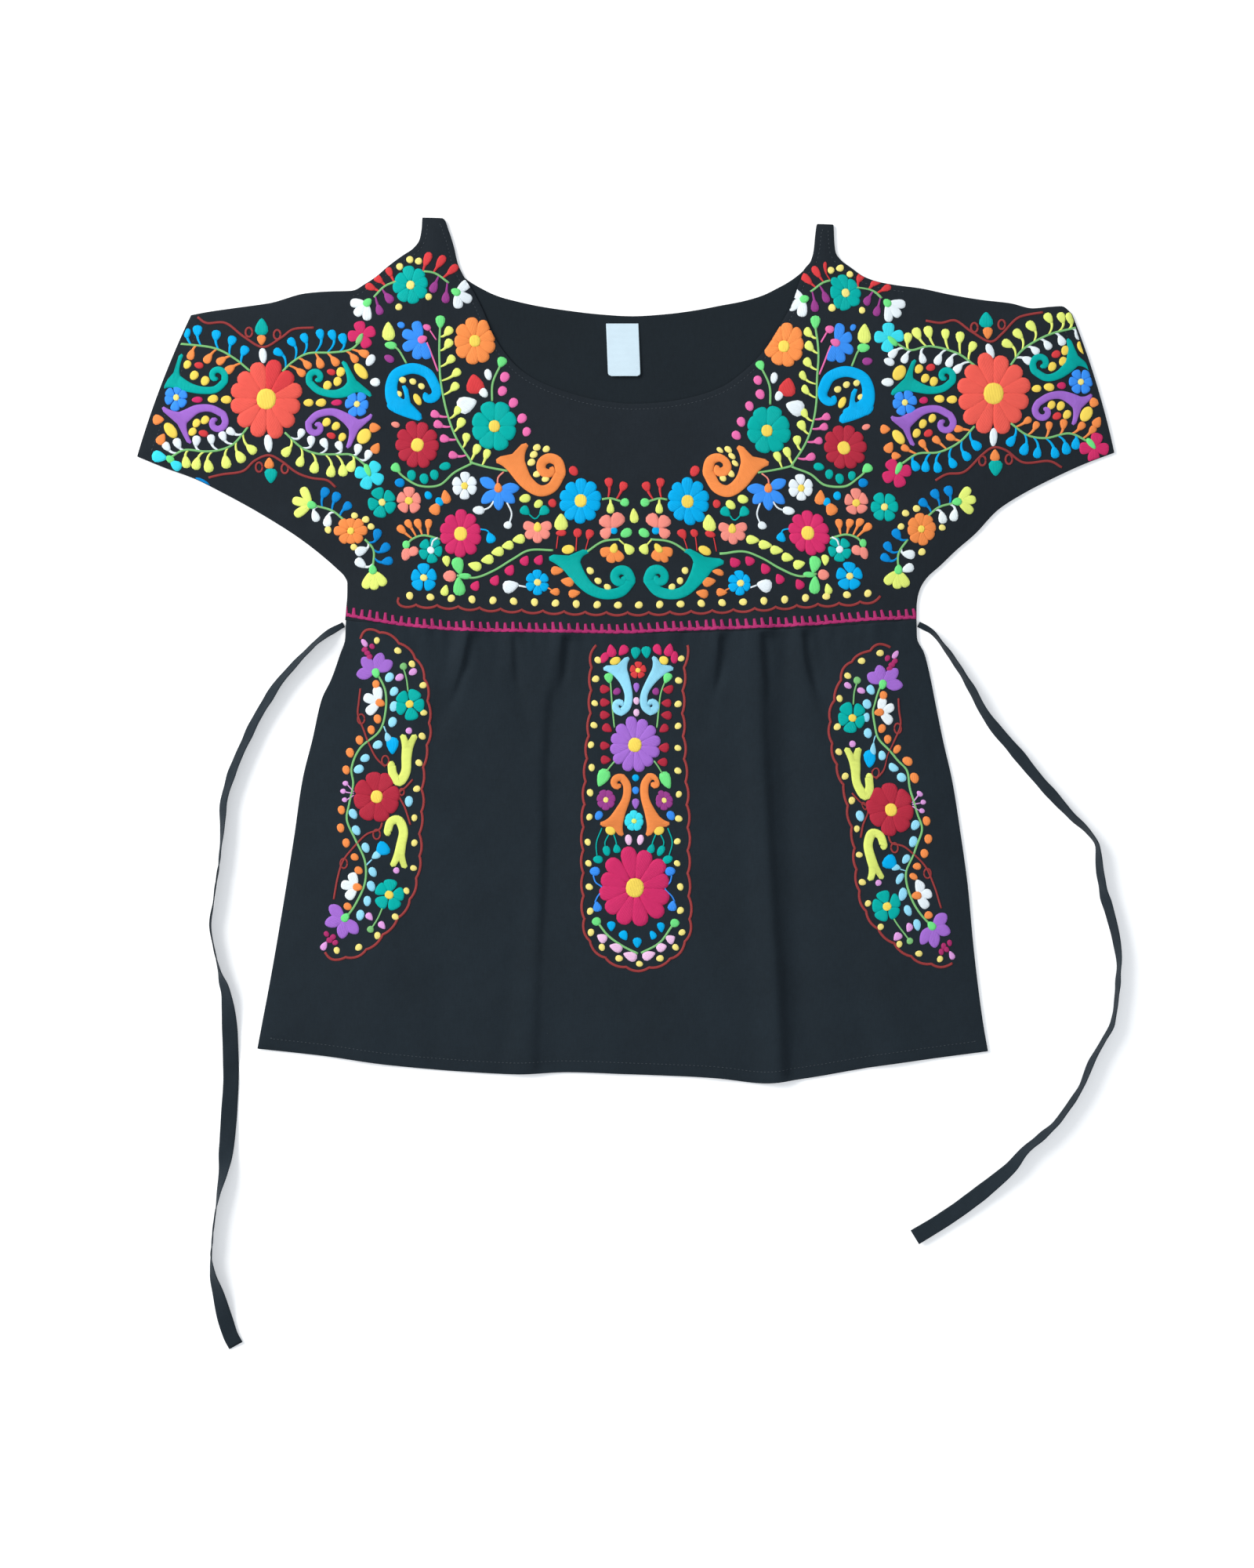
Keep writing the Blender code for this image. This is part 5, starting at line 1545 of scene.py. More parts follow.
YOKE_MIDDLE = (("drops", "lime", (20, 11, 95, 809, 658)),)
YOKE_HEM_DOTS = (
    523, 760, 587, 764, 653, 767, 720, 770, 787, 772, 850, 771, 920, 769, 985, 766, 1050, 761, 1107, 757,
)
YOKE_HEM_LINE = (
    509, 762, 516, 770, 560, 772, 650, 777, 730, 780, 810, 781, 890, 779, 960, 776, 1030, 771, 1100, 767,
    1123, 760,
)
WAIST_STITCH = (
    441, 784, 492, 793, 538, 799, 595, 803, 680, 804.5, 760, 805.5, 801, 806, 862, 803, 954, 800, 1031, 796,
    1107, 790, 1168, 787,
)

# The middle of the skirt: its upper and lower parts and its foot are mirrored about lines of their own
SKIRT_UPPER = (
    ("seeds", "cerise", (17, 11, 60, 771, 839)),
    ("drops", "cerise", (17, 12, 100, 780, 830), (17, 12, 230, 795, 830)),
    ("drops", "teal", (16, 12, 265, 811, 833)),
    ("horn", "pale_sky", ((771, 852, 801, 839), (788, 851, 797, 868, 802, 886, 800, 901, 793, 908),
     (791, 900), 10.5, (785, 843, 15, 10), 0.75, 0.85)),
    ("drops", "leaf", (14, 11, 280, 777, 865)),
    ("line", "vine", ((779, 870, 781, 898, 784, 928), 2.4)),
    ("drops", "crimson", (14, 11, 0, 772, 879, 772, 896, 772, 912), (14, 10.5, -35, 775, 929),
     (14, 11, 0, 772, 951, 773, 969)),
    ("seeds", "plum", (11, 9, 40, 787, 882)),
)

SKIRT_LOWER = (
    ("line", "vine", ((786, 969, 779, 977, 772, 986), 2.6)),
    ("drops", "leaf", (26, 16, 245, 769, 992)),
    ("horn", "orange", ((767, 1051, 793, 1065), (783, 1053, 791, 1036, 799, 1018, 800, 1002, 794, 992),
     (789, 999), 10.5, (779, 1059, 14, 12), 0.75, 0.8)),
    ("flower", "plum", (773, 1020, 13, 7, 12, 3.5, "straw")),
    ("seeds", "royal", (14, 11, 60, 764, 1040)),
    ("seeds", "blush", (15, 9.5, 100, 802, 1071)),
    ("line", "teal", ((768, 1056, 761, 1075, 762, 1094), 1.9), ((777, 1064, 772, 1074, 773, 1083), 1.9),
     ((783, 1064, 786, 1073, 787, 1081), 1.9)),
    ("seeds", "teal", (14, 11, -10, 763, 1096), (14, 10, 100, 774, 1085)),
    ("drops", "teal", (13, 10, 100, 787, 1082)),
    ("line", "royal", ((757, 1116, 760, 1125, 769, 1133, 762, 1144, 759, 1151), 2.2)),
    ("seeds", "royal", (14, 12, 0, 759, 1111)),
    ("drops", "royal", (14, 11, 100, 762, 1156)),
)

SKIRT_FOOT = (
    ("sprig", "vine", ((814, 1216, 794, 1206, 776, 1193, 764, 1178),)),
    ("seeds", "leaf", (13, 12, 0, 761, 1175)),
    ("drops", "sky", (14, 11, 270, 780, 1181), (14, 11, 300, 796, 1193)),
    ("drops", "blush", (15, 12, 150, 768, 1196), (18, 12, 165, 786, 1208), (19, 12, 160, 804, 1219)),
)

SKIRT_MIDDLE = (
    ("flower", "scarlet", (814, 855, 11, 5, 90, 3.2)),
    ("drops", "purple", (14, 8, 270, 812, 877)),
    ("seeds", "blush", (10, 8, 90, 812, 894, 812, 909)),
    ("seeds", "sky", (9, 9, 90, 811, 992)),
    ("seeds", "royal", (10, 9, 90, 811, 1008)),
    ("drops", "purple", (14, 9, 270, 811, 1025)),
    ("flower", "cyan", (809, 1047, 13, 7, 90, 3.2, "lime")),
    ("drops", "sky", (14, 11, 270, 813, 1202)),
    ("flower", "purple", (810, 950, 35, 12, 10, 9)),
    ("flower", "cerise", (810, 1132, 50, 12, 12, 12)),
)

# The left motif of the skirt; the right one is its mirrored copy
SKIRT_SIDE = (
    ("line", "rust", ((460, 878, 458, 896, 457, 912, 464, 930, 470, 946, 480, 966, 492, 978), 3,
     (461, 917, 492, 970), 6.2), ((527, 994, 518, 1004, 509, 1013, 517, 1030, 524, 1052), 3, ((513, 1010),),
     4.2), ((488, 1049, 484, 1058, 468, 1064, 452, 1080, 438, 1098, 431, 1120, 426, 1147), 3,
     (481, 1064, 439, 1101), 6.2)),
    ("sprig", "vine", ((481, 858, 492, 881, 492, 909, 484, 933, 460, 954, 449, 979, 451, 1000, 446, 1025,
     443, 1046, 454, 1071, 466, 1098, 466, 1126, 454, 1153, 442, 1170),)),
    ("seeds", "orange", (13, 10.5, 100, 480, 873, 482, 917, 474, 931, 459, 944, 447, 960, 442, 982, 436,
     1033, 435, 1056, 442, 1075), (12, 10, 150, 453, 1093, 458, 1110, 444, 1156)),
    ("seeds", "pale_sky", (14, 11, 60, 497, 864, 503, 882, 503, 901, 501, 921),
     (14, 11, 30, 482, 950, 466, 967, 458, 981), (15, 11, 120, 451, 1038, 455, 1059, 467, 1081, 476, 1112,
     474, 1130), (15, 11, 80, 469, 1149, 460, 1167, 522, 1022)),
    ("fan", "purple", (479.5, 857, 26, 16.5, (32, 73, 134, 188), "leaf", 1.2)),
    ("seeds", "magenta", (9, 7.5, None, 475, 824.5, 465.5, 828.5, 469, 833, 471.5, 838)),
    ("seeds", "orchid", (12, 7, -50, 465, 820)),
    ("fan", "white", (484, 896, 21, 12.5, (98, 158, 222), "orange"), (455, 1131, 20, 12.5, (110, 170, 232),
     "orange")),
    ("line", "vine", ((521, 882, 519, 866, 515, 852), 2.4), ((489, 1156, 483, 1170, 475, 1183), 2.4)),
    ("seeds", "vine", (10, 10, 0, 515, 850, 473, 1185)),
    ("flower", "teal", (523, 898, 20, 5, 135, 5), (497, 1141, 20, 5, 80, 5.5)),
    ("seeds", "orchid", (12, 9, 30, 510, 864, 527, 857), (9, 9, 0, 522, 932, 506, 1110)),
    ("drops", "orchid", (13, 9, -50, 472, 1169, 488, 1180)),
    ("drops", "sky", (24, 16, 270, 501, 951)),
    ("drops", "pale_sky", (14, 9, 110, 495, 940)),
    ("line", "pale_sky", ((493, 934, 490, 926), 2.2)),
    ("drops", "sky", (20, 20, 220, 488, 1083)),
    ("drops", "pale_sky", (14, 10, 215, 480, 1091)),
    ("line", "pale_sky", ((475, 1096, 467, 1104), 2.2)),
    ("horn", "lime", ((514, 938, 530, 938), (521, 947, 519, 965, 518, 984, 510, 997, 502, 988, 500, 976),
     (504, 972), 12.5, None, 0.15, 0.12, 0.4), ((501, 1104, 517, 1106), (509, 1095, 512, 1078, 515, 1060,
     509, 1046, 499, 1048, 495, 1060), (499, 1065), 12, None, 0.15, 0.12, 0.4)),
    ("line", "orchid", ((452, 1010, 443, 1000), 1.8), ((452, 1012, 441, 1010), 1.8),
     ((452, 1014, 443, 1020), 1.8)),
    ("seeds", "orchid", (8, 7, 0, 441, 999, 438, 1009, 440, 1020)),
    ("flower", "crimson", (481, 1016, 32, 8, 12, 8)),
    ("fan", "purple", (440, 1171, 26, 16.5, (140, 196, 262, 311), "leaf", 1.2)),
    ("seeds", "magenta", (9, 7.5, None, 425, 1195, 417, 1191, 421, 1199, 428, 1202)),
    ("drops", "orchid", (13, 8, 60, 414, 1206)),
)

SKIRT_BORDER = (
    761, 823, 756, 840, 755, 870, 754, 910, 750, 960, 747, 1010, 745, 1060, 745, 1120, 747, 1180, 759, 1208,
    782, 1226, 815, 1235, 848, 1226, 868, 1209, 879, 1180, 877, 1120, 877, 1060, 875, 1010, 872, 960, 870,
    910, 871, 870, 873, 845, 877, 823,
)
SKIRT_DOTS = (
    763, 842, 760, 866, 759, 897, 758, 925, 754, 950, 755, 979, 753, 1011, 752, 1042, 750, 1074, 751, 1101,
    752, 1131, 753, 1162, 754, 1189, 768, 1208, 790, 1222, 816, 1229, 842, 1222, 862, 1208, 870, 1189, 868,
    1161, 868, 1131, 864, 1101, 864, 1073, 866, 1044, 866, 1013, 865, 983, 865, 954, 865, 926, 865, 898,
    866, 868, 869, 840,
)
SIDE_BORDER = (
    460, 815, 470, 806, 490, 809, 512, 823, 530, 841, 542, 869, 546, 902, 547, 933, 541, 970, 538, 1000,
    538, 1031, 535, 1062, 535, 1095, 527, 1135, 515, 1160, 490, 1190, 460, 1215, 429, 1221, 415, 1214,
)
SIDE_DOTS = (
    481, 817, 508, 830, 526, 847, 540, 874, 541, 909, 539, 939, 535, 973, 532, 1006, 529, 1043, 529, 1075,
    528, 1107, 519, 1136, 505, 1169, 482, 1193, 458, 1208, 430, 1212,
)
RIGHT_SIDE_BORDER = (
    1136, 826, 1120, 825, 1106, 833, 1090, 842, 1078, 855, 1070, 878, 1062, 904, 1060, 930, 1064, 959, 1071,
    985, 1079, 1010, 1083, 1035, 1089, 1066, 1092, 1100, 1096, 1132, 1103, 1157, 1117, 1180, 1139, 1201,
    1166, 1221, 1195, 1230, 1215, 1228,
)
RIGHT_SIDE_DOTS = (
    1122.6, 833, 1099, 843, 1081.5, 862, 1071, 891, 1068, 927, 1070, 959, 1078, 990, 1086.5, 1021, 1093,
    1057, 1096, 1090, 1100, 1125, 1107, 1152, 1123, 1182, 1147, 1204, 1172, 1216, 1199, 1223,
)


def mirrored(axis, *pins):
    """Mirrors the sheet about an upright line, then moves each place by the mean of the pins' shifts,
    weighted by one over the cube of their distance. A pin is a place on the left and that of its copy."""
    pins = np.array(pins, float)
    shift = pins[:, 2:] - np.stack([2 * axis - pins[:, 0], pins[:, 1]], -1)

    def turn(x, y):
        across, down = x + SHEET_MIDDLE[0], SHEET_MIDDLE[1] - y
        total, right, lower = 1e-9, 0.0, 0.0
        for pin, (dx, dy) in zip(pins, shift):
            weight = 1 / (np.hypot(across - pin[0], down - pin[1]) + 6) ** 3
            total, right, lower = total + weight, right + dx * weight, lower + dy * weight
        return 2 * axis - across + right / total - SHEET_MIDDLE[0], SHEET_MIDDLE[1] - down - lower / total

    return turn


YOKE_TURN = mirrored(
    809, (606, 434, 1000, 441), (631, 544, 978, 550), (533, 568, 1076, 572), (741, 639, 877, 640),
    (588, 680, 1030, 679), (685, 674, 935, 676), (593, 620, 1022, 623), (636, 624, 980, 624),
    (522, 639, 1092, 642), (549, 703, 1072, 702), (541, 737, 1084, 735), (686, 743, 945, 744),
    (585, 735, 1040, 733), (702, 711, 922, 716), (749, 703, 875, 702), (792, 737, 841, 736),
    (772, 758, 861, 758), (671, 567, 943, 570), (635, 587, 979, 590), (700, 597, 919, 595),
    (526, 497, 1081, 501), (562, 411, 1040, 411), (603, 591, 1009, 595), (644, 481, 967, 485),
    (672, 551, 939, 556), (538, 434, 1067, 438), (496, 423, 1102, 426), (783, 677, 837, 677),
    (797, 641, 823, 641), (513, 676, 1106, 673), (554, 606, 1058, 605), (606, 490, 1005, 494),
    (510, 616, 1101, 616), (556, 649, 1060, 649), (622, 714, 1005, 711), (607, 747, 1020, 745),
    (651, 727, 976, 725), (724, 742, 905, 742), (562, 476, 1042, 480),
)
SHOULDER_TURN = mirrored(
    801, (524, 364, 1079, 374), (534, 333, 1059, 345), (510, 340, 1084, 350), (577, 344, 1030, 356),
    (562, 334, 1042, 348), (497, 347, 1096, 354), (473, 366, 1131, 367), (569, 379, 1040, 390),
    (554, 366, 1053, 379), (496, 380, 1106, 383), (484, 395, 1119, 396), (509, 392, 1101, 396),
    (547, 379, 1062, 394), (583, 373, 1025, 381), (468, 387, 1132, 387),
)
SKIRT_TURN = mirrored(
    803.5, (479.5, 857, 1126, 871.5), (492, 897, 1114.6, 908), (484, 933, 1122, 944), (460, 954, 1141, 965),
    (449, 979, 1158.5, 988), (523, 898, 1087.6, 916), (522, 938, 1087.5, 955), (510, 997, 1103, 1015),
    (500, 976, 1108, 991), (501, 951, 1110.5, 970), (515, 850, 1093.5, 868), (503, 882, 1106.5, 899),
    (481, 1016, 1137, 1033), (522, 1022, 1097.5, 1041), (441, 1009, 1175, 1023), (443, 1046, 1176, 1060),
    (466, 1112, 1157, 1117), (455, 1131, 1171, 1142), (440, 1171, 1189.5, 1181.5),
    (497, 1141, 1131.5, 1156), (509, 1105, 1118, 1121), (515, 1060, 1107.5, 1076), (495, 1060, 1127, 1078),
    (488, 1083, 1136, 1101), (439, 1101, 1183, 1114), (475, 1183, 1159, 1198), (458, 896, 1147, 907),
)
UPPER_TURN = mirrored(
    813.5, (780, 830, 854, 829), (771, 852, 858, 852), (788, 904, 834, 903), (773, 896, 849, 897),
    (773, 969, 845, 972), (811, 833, 825, 832),
)
LOWER_TURN = mirrored(
    809.5, (769, 992, 849, 996), (790, 999, 833, 997), (767, 1053, 853, 1053), (758, 1111, 856, 1111),
    (762, 1156, 858, 1155),
)
FOOT_TURN = mirrored(813.5, (761, 1175, 861, 1177), (804, 1219, 828, 1218))

YOKE_BORDER = (
    ("scallops", "rust", (YOKE_HEM_LINE, 26.6, -4.0, 3.8)),
    ("dots", "straw", (11, 9.5, YOKE_HEM_DOTS, 26.5)),
)
WAIST_ROW = (("blanket", "magenta", (WAIST_STITCH, 10.3, 10.8)),)


def edging(border, period, bulge, places):
    """A chart of a scalloped line with small seeds inside it."""
    return ("scallops", "rust", (border, period, bulge, 3.8)), ("seeds", "straw", (10.0, 8.4, None, *places))


SKIRT_EDGING = edging(SKIRT_BORDER, 29, -3.2, SKIRT_DOTS)
SIDE_EDGING = edging(SIDE_BORDER, 28, 3.0, SIDE_DOTS)
RIGHT_SIDE_EDGING = edging(RIGHT_SIDE_BORDER, 28, -3.0, RIGHT_SIDE_DOTS)


# The pieces

HEM_EXTRA = 0.42
HEM_STEP = 1.6
SEAM_LOW = 1.25
SEAM_RUN = 1.6
BACK_SHELL = 1.0
BACK_LIFT = 0.8
BACK_HELD = 18.0
BACK_EDGE = 3.0
NECK_STITCH = 4.5
NECK_DROP = 0.3
BACK_RIPPLE = 0.8
BACK_RIM_RIPPLE = 0.22
TIE_PLACES = 11
TIE_CRUMPLE = 0.35
TIE_CALM = 0.35
TIE_HELD = 0.3
TIE_END_RUN = 12
TIE_LOWEST = 0.02
TIE_INNER_SHARE = 0.78
TIE_EDGE_PLACE = 0.84
TIE_EDGE_HALF = 0.13
LABEL_GRID = (44, 30)
LABEL_TAPE = 0.6
LABEL_LEAN = 1.6
LABEL_CORNER = 2.6
LABEL_GAP = 0.1
FRAME_HEIGHT = 1.22
FRAME_MIDDLE = (0.0015, -0.104)
CLOTH_LEVEL = 0.0035
SENSOR = 36.0
FLOOR_HALF = 4.0
FLOOR_LEVEL = -0.0002
STITCH_PITCH = 3.1
# A machine stitch: its length and width in squares, then its dome and how far it is set in, in millimetres
HEM_STITCH = (3.6, 1.15)
HEM_STITCH_RISE = (0.34, -0.12)

# Share by which a panel's plan area is multiplied when the panel is made, for its cloth before it was
# gathered and sewn; the product is not kept
SEAM_SHARE = 1.06


@lru_cache(maxsize=2)
def laid_cloth(crease_share):
    """The laid front's heights, worked out once."""
    return LaidCloth(crease_share)


def cloth_of(context):
    return laid_cloth(round(context.scene.blouse_cloth.crease_share, 4))


def panel_cotton(context, name):
    """The cotton of a panel: the cloth's colour with the panel's shares of its red, green and blue, which
    make the back yoke darker as painted shade.
    """
    shares = PANEL_TINT_AND_PAINTED_SHADE.get(name, (1, 1, 1))
    colour = tuple(part * share for part, share in zip(context.scene.blouse_cloth.colour, shares))
    return cotton("cotton_of_" + name, colour)


def plan_area(x, y):
    """Area of a plan grid in square metres: half the cross product of each cell's diagonals."""
    across = np.stack([x[1:, 1:] - x[:-1, :-1], y[1:, 1:] - y[:-1, :-1]])
    down = np.stack([x[:-1, 1:] - x[1:, :-1], y[:-1, 1:] - y[1:, :-1]])
    return float(abs(across[0] * down[1] - across[1] * down[0]).sum() / 2 * MM * MM)


def front_panel(context, name, x, y):
    """One layer of cloth under the laid front's upper side, thicker at its hems and down at its seams."""
    cloth = cloth_of(context)
    gaps = cloth.gaps(x, y)
    high = cloth.top_at(x, y, gaps)
    thick = context.scene.blouse_cloth.shell / MM
    for edge, place in LaidCloth.STITCH_LINE.items():
        thick = thick + HEM_EXTRA * np.clip((place + HEM_STEP / 2 - gaps[edge]) / HEM_STEP, 0, 1)
    sewn = bell(gaps["sewn"] / SEAM_RUN)
    low = (high - thick) * (1 - sewn) + SEAM_LOW * sewn
    return add_wall(name, x, y, low, high, panel_cotton(context, name))


def back_panel(context, name, x, y):
    """The back layer: it lies on the surface, and its creases lift it a little inside the front's outline."""
    cloth = cloth_of(context)
    inside = np.clip(cloth.read(cloth.inside, x, y), 0, None)
    held = 1 - np.exp(-inside / BACK_HELD)
    ripples = ripple_height(x, y)
    low = np.clip(fold_height(x, y, BACK_CREASES) + BACK_RIPPLE * ripples, 0, BACK_LIFT) * held
    high = low + BACK_SHELL + (CLOTH - BACK_SHELL) * np.exp(-inside / BACK_EDGE)
    high = high + BACK_RIM_RIPPLE * ripples * (1 - held)
    ax, ay = yoke_edges("back", OUTLINE_STEPS)[2:]
    neck = (ax > OPEN_TOPS[1][0]) & (ax < OPEN_TOPS[1][1])
    ax, ay = ax[neck], ay[neck]
    gap = from_lines(x, y, ax[:-1], ay[:-1], ax[1:], ay[1:])
    high -= LaidCloth.GROOVE * bell((gap - NECK_STITCH) / LaidCloth.GROOVE_HALF)
    high -= NECK_DROP * np.clip(1 - gap / LaidCloth.RIM_RUN, 0, 1) ** 2
    return add_wall(name, x, y, low, high, panel_cotton(context, name))


def tie_line(route):
    """Evenly spaced points on the smooth curve through a tie's route, with its turn and width at each."""
    x, y, turn = np.array(route, float).T
    before = running(np.hypot(np.diff(x), np.diff(y)))
    at = np.linspace(0, before[-1], TIE_STATIONS)
    width = TIE_WIDTH * (TIE_ROOT_SHARE + (1 - TIE_ROOT_SHARE) * ease(np.clip(at / TIE_ROOT_RUN, 0, 1)))
    return smooth(before, x, at), smooth(before, y, at), np.radians(smooth(before, turn, at)), width, at


def add_tie(name, route, finish, phase):
    """A flat ribbon swept along its line and rolled about it, lowest edge on the surface. Across it, its half
    thickness is the root of 1 - u^8, fuller at its stitched edges. Small crumples bend both faces alike."""
    x, y, turn, width, far = (part[:, None] for part in tie_line(route))
    way = np.concatenate([np.gradient(x, axis=0), np.gradient(y, axis=0)], 1)
    way /= np.linalg.norm(way, axis=1, keepdims=True)
    across = rounded(TIE_PLACES)
    u = np.concatenate([across, across[-2:0:-1]])[None, :]
    face = np.concatenate([np.ones(TIE_PLACES), -np.ones(TIE_PLACES - 2)])[None, :]
    edge = TIE_INNER_SHARE + (1 - TIE_INNER_SHARE) * bell((abs(u) - TIE_EDGE_PLACE) / TIE_EDGE_HALF)
    half = TIE_CLOTH / 2 * np.sqrt(np.clip(1 - u**8, 0, 1)) * edge
    free = np.clip(far / TIE_ROOT_RUN, TIE_HELD, 1)
    free = free * np.clip((far[-1] - far) / TIE_END_RUN + TIE_HELD, 0, 1)
    small = 0.7 * np.sin(far / 2.9 + 2 * phase - 2.2 * u) * np.sin(far / 31 + phase)
    crumple = np.sin(far / 5.3 + phase + 1.5 * u) + small
    bent = TIE_CRUMPLE * free * crumple * (TIE_CALM + (1 - TIE_CALM) * np.sin(far / 23 + phase) ** 2)
    flat = u * width / 2 * (1 + 0.02 * np.sin(far / 11 + phase))
    up = face * half + bent
    middle = (width * abs(np.sin(turn)) + TIE_CLOTH * abs(np.cos(turn))) / 2
    side = flat * np.cos(turn) - up * np.sin(turn)
    rise = flat * np.sin(turn) + up * np.cos(turn)
    level = np.maximum(middle + rise, TIE_LOWEST)
    points = np.stack([x - side * way[:, 1:], y + side * way[:, :1], level], -1)
    at = np.arange(side.size).reshape(side.shape)
    faces = quads(np.concatenate([at, at[:, :1]], 1)).tolist()
    faces += [at[0].tolist(), at[-1, ::-1].tolist()]
    made = add_piece(name + "_ribbon", points.reshape(-1, 3), faces, finish)
    write_attributes(made, np.stack([far + 0 * u, flat + 0 * far + 0.5 * face], -1).reshape(-1, 2))
    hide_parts(name)


def start_needle(context, seed):
    """A needle with every thread, ready to work on the laid front."""
    settings = context.scene.blouse_stitch
    threads = {name: tuple(getattr(settings, name)) for name in THREADS}
    return Needlework(cloth_of(context), threads, settings.pad / MM, seed)


def embroider(context, name, seed, *charts):
    """One piece of embroidery from charts. A chart may come with the turn that its mirrored copy takes."""
    needle = start_needle(context, seed)
    for rows, *turned in charts:
        needle.work(rows, *turned)
    needle.finish(name, bpy.data.materials.get("embroidery_thread") or satin_thread())


class BLOUSE_OT_stage(bpy.types.Operator):
    """Adds the camera straight above, two soft lights, an even sky and a plain pale floor"""

    bl_idname = "blouse.stage"
    bl_label = "Stage"

    LIGHTS = (
        ("key_light", (-3.1, 1.7, 2.4), 2.8, 212.0, (1.0, 0.985, 0.96)),
        ("fill_light", (2.6, -1.6, 2.9), 3.0, 26.0, (0.93, 0.96, 1.0)),
    )
    SKY = (0.90, 0.95, 1.0, 1.0)
    SKY_STRENGTH = 0.53

    def execute(self, context):
        settings = context.scene.blouse_stage
        lens = bpy.data.cameras.new("camera")
        lens.sensor_width = SENSOR
        lens.lens = SENSOR * (settings.height - CLOTH_LEVEL) / FRAME_HEIGHT
        camera = add_object("camera", lens)
        camera.location = (*FRAME_MIDDLE, settings.height)
        context.scene.camera = camera
        for name, place, size, power, tint in self.LIGHTS:
            light = bpy.data.lights.new(name, "AREA")
            light.shape = "DISK"
            light.size = size
            light.energy = power
            light.color = tint
            lamp = add_object(name, light)
            lamp.location = place
            lamp.rotation_euler = (-Vector(place)).to_track_quat("-Z", "Y").to_euler()
        world = bpy.data.worlds.new("even_sky")
        world.use_nodes = True
        sky = world.node_tree.nodes["Background"]
        sky.inputs["Color"].default_value = self.SKY
        sky.inputs["Strength"].default_value = self.SKY_STRENGTH
        context.scene.world = world
        context.scene.view_settings.view_transform = "Standard"
        corners = np.array([(-1, -1), (1, -1), (1, 1), (-1, 1)]) * FLOOR_HALF + FRAME_MIDDLE
        mesh = bpy.data.meshes.new("floor")
        mesh.from_pydata([(x, y, FLOOR_LEVEL) for x, y in corners.tolist()], [], [(0, 1, 2, 3)])
        mesh.materials.append(plain_floor(tuple(settings.floor_colour)))
        add_object("floor", mesh)
        return {"FINISHED"}


class BLOUSE_OT_ties(bpy.types.Operator):
    """Makes the two flat ties that lie loose beside the blouse"""

    bl_idname = "blouse.ties"
    bl_label = "Ties"

    def execute(self, context):
        finish = cotton("tie_cotton", tuple(context.scene.blouse_cloth.colour), on_run=True)
        add_tie("left_tie", LEFT_TIE, finish, 0.8)
        add_tie("right_tie", RIGHT_TIE, finish, 2.9)
        return {"FINISHED"}


class BLOUSE_OT_label(bpy.types.Operator):
    """Makes the blank label inside the back of the neck"""

    bl_idname = "blouse.label"
    bl_label = "Neck label"

    def execute(self, context):
        rows, columns = LABEL_GRID
        share = np.linspace(0, 1, rows)[:, None]
        to_foot = (1 - share) * (LABEL_TOP - LABEL_FOOT)
        cut = np.clip(1 - to_foot / LABEL_CORNER, 0, 1)
        half = LABEL_HALF - LABEL_CORNER * (1 - np.sqrt(1 - cut**2))
        x = LABEL_MIDDLE + LABEL_LEAN * (share - 0.5) + half * np.linspace(-1, 1, columns)[None, :]
        y = LABEL_TOP + (LABEL_FOOT - LABEL_TOP) * share + 0 * x
        wave = 0.16 * np.sin(x / 3.7 + 1.1) * share + 0.12 * np.sin(y / 5.1)
        low = FRONT_BASE + LABEL_GAP + LABEL_LIFT * share**2 + wave * share
        tape = label_tape(tuple(context.scene.blouse_cloth.tape_colour))
        made = add_wall("neck_label_tape", x, y, low, low + LABEL_TAPE, tape)
        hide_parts("neck_label")
        return {"FINISHED"}


class BLOUSE_OT_sleeve_embroidery(bpy.types.Operator):
    """Stitches the large flowers and horns of both sleeves, and the sprays under the arms"""

    bl_idname = "blouse.sleeve_embroidery"
    bl_label = "Sleeve embroidery"

    def execute(self, context):
        embroider(context, "left_sleeve_embroidery", 11, (LEFT_SLEEVE,))
        embroider(context, "right_sleeve_embroidery", 12, (RIGHT_SLEEVE,))
        embroider(context, "left_underarm_spray", 13, (LEFT_UNDERARM,))
        embroider(context, "right_underarm_spray", 14, (RIGHT_UNDERARM,))
        return {"FINISHED"}


class BLOUSE_OT_shoulder_sprays(bpy.types.Operator):
    """Stitches the small sprays at the shoulders"""

    bl_idname = "blouse.shoulder_sprays"
    bl_label = "Shoulder sprays"

    def execute(self, context):
        embroider(context, "left_shoulder_spray", 21, (SHOULDER,))
        embroider(context, "right_shoulder_spray", 22, (SHOULDER, SHOULDER_TURN))
        return {"FINISHED"}


class BLOUSE_OT_yoke_embroidery(bpy.types.Operator):
    """Stitches the flowers of the yoke, its dots and its scalloped line"""

    bl_idname = "blouse.yoke_embroidery"
    bl_label = "Yoke embroidery"

    def execute(self, context):
        embroider(context, "left_yoke_embroidery", 31, (YOKE_SIDE,), (YOKE_MIDDLE,))
        embroider(context, "right_yoke_embroidery", 32, (YOKE_SIDE, YOKE_TURN))
        embroider(context, "yoke_border", 33, (YOKE_BORDER,))
        return {"FINISHED"}


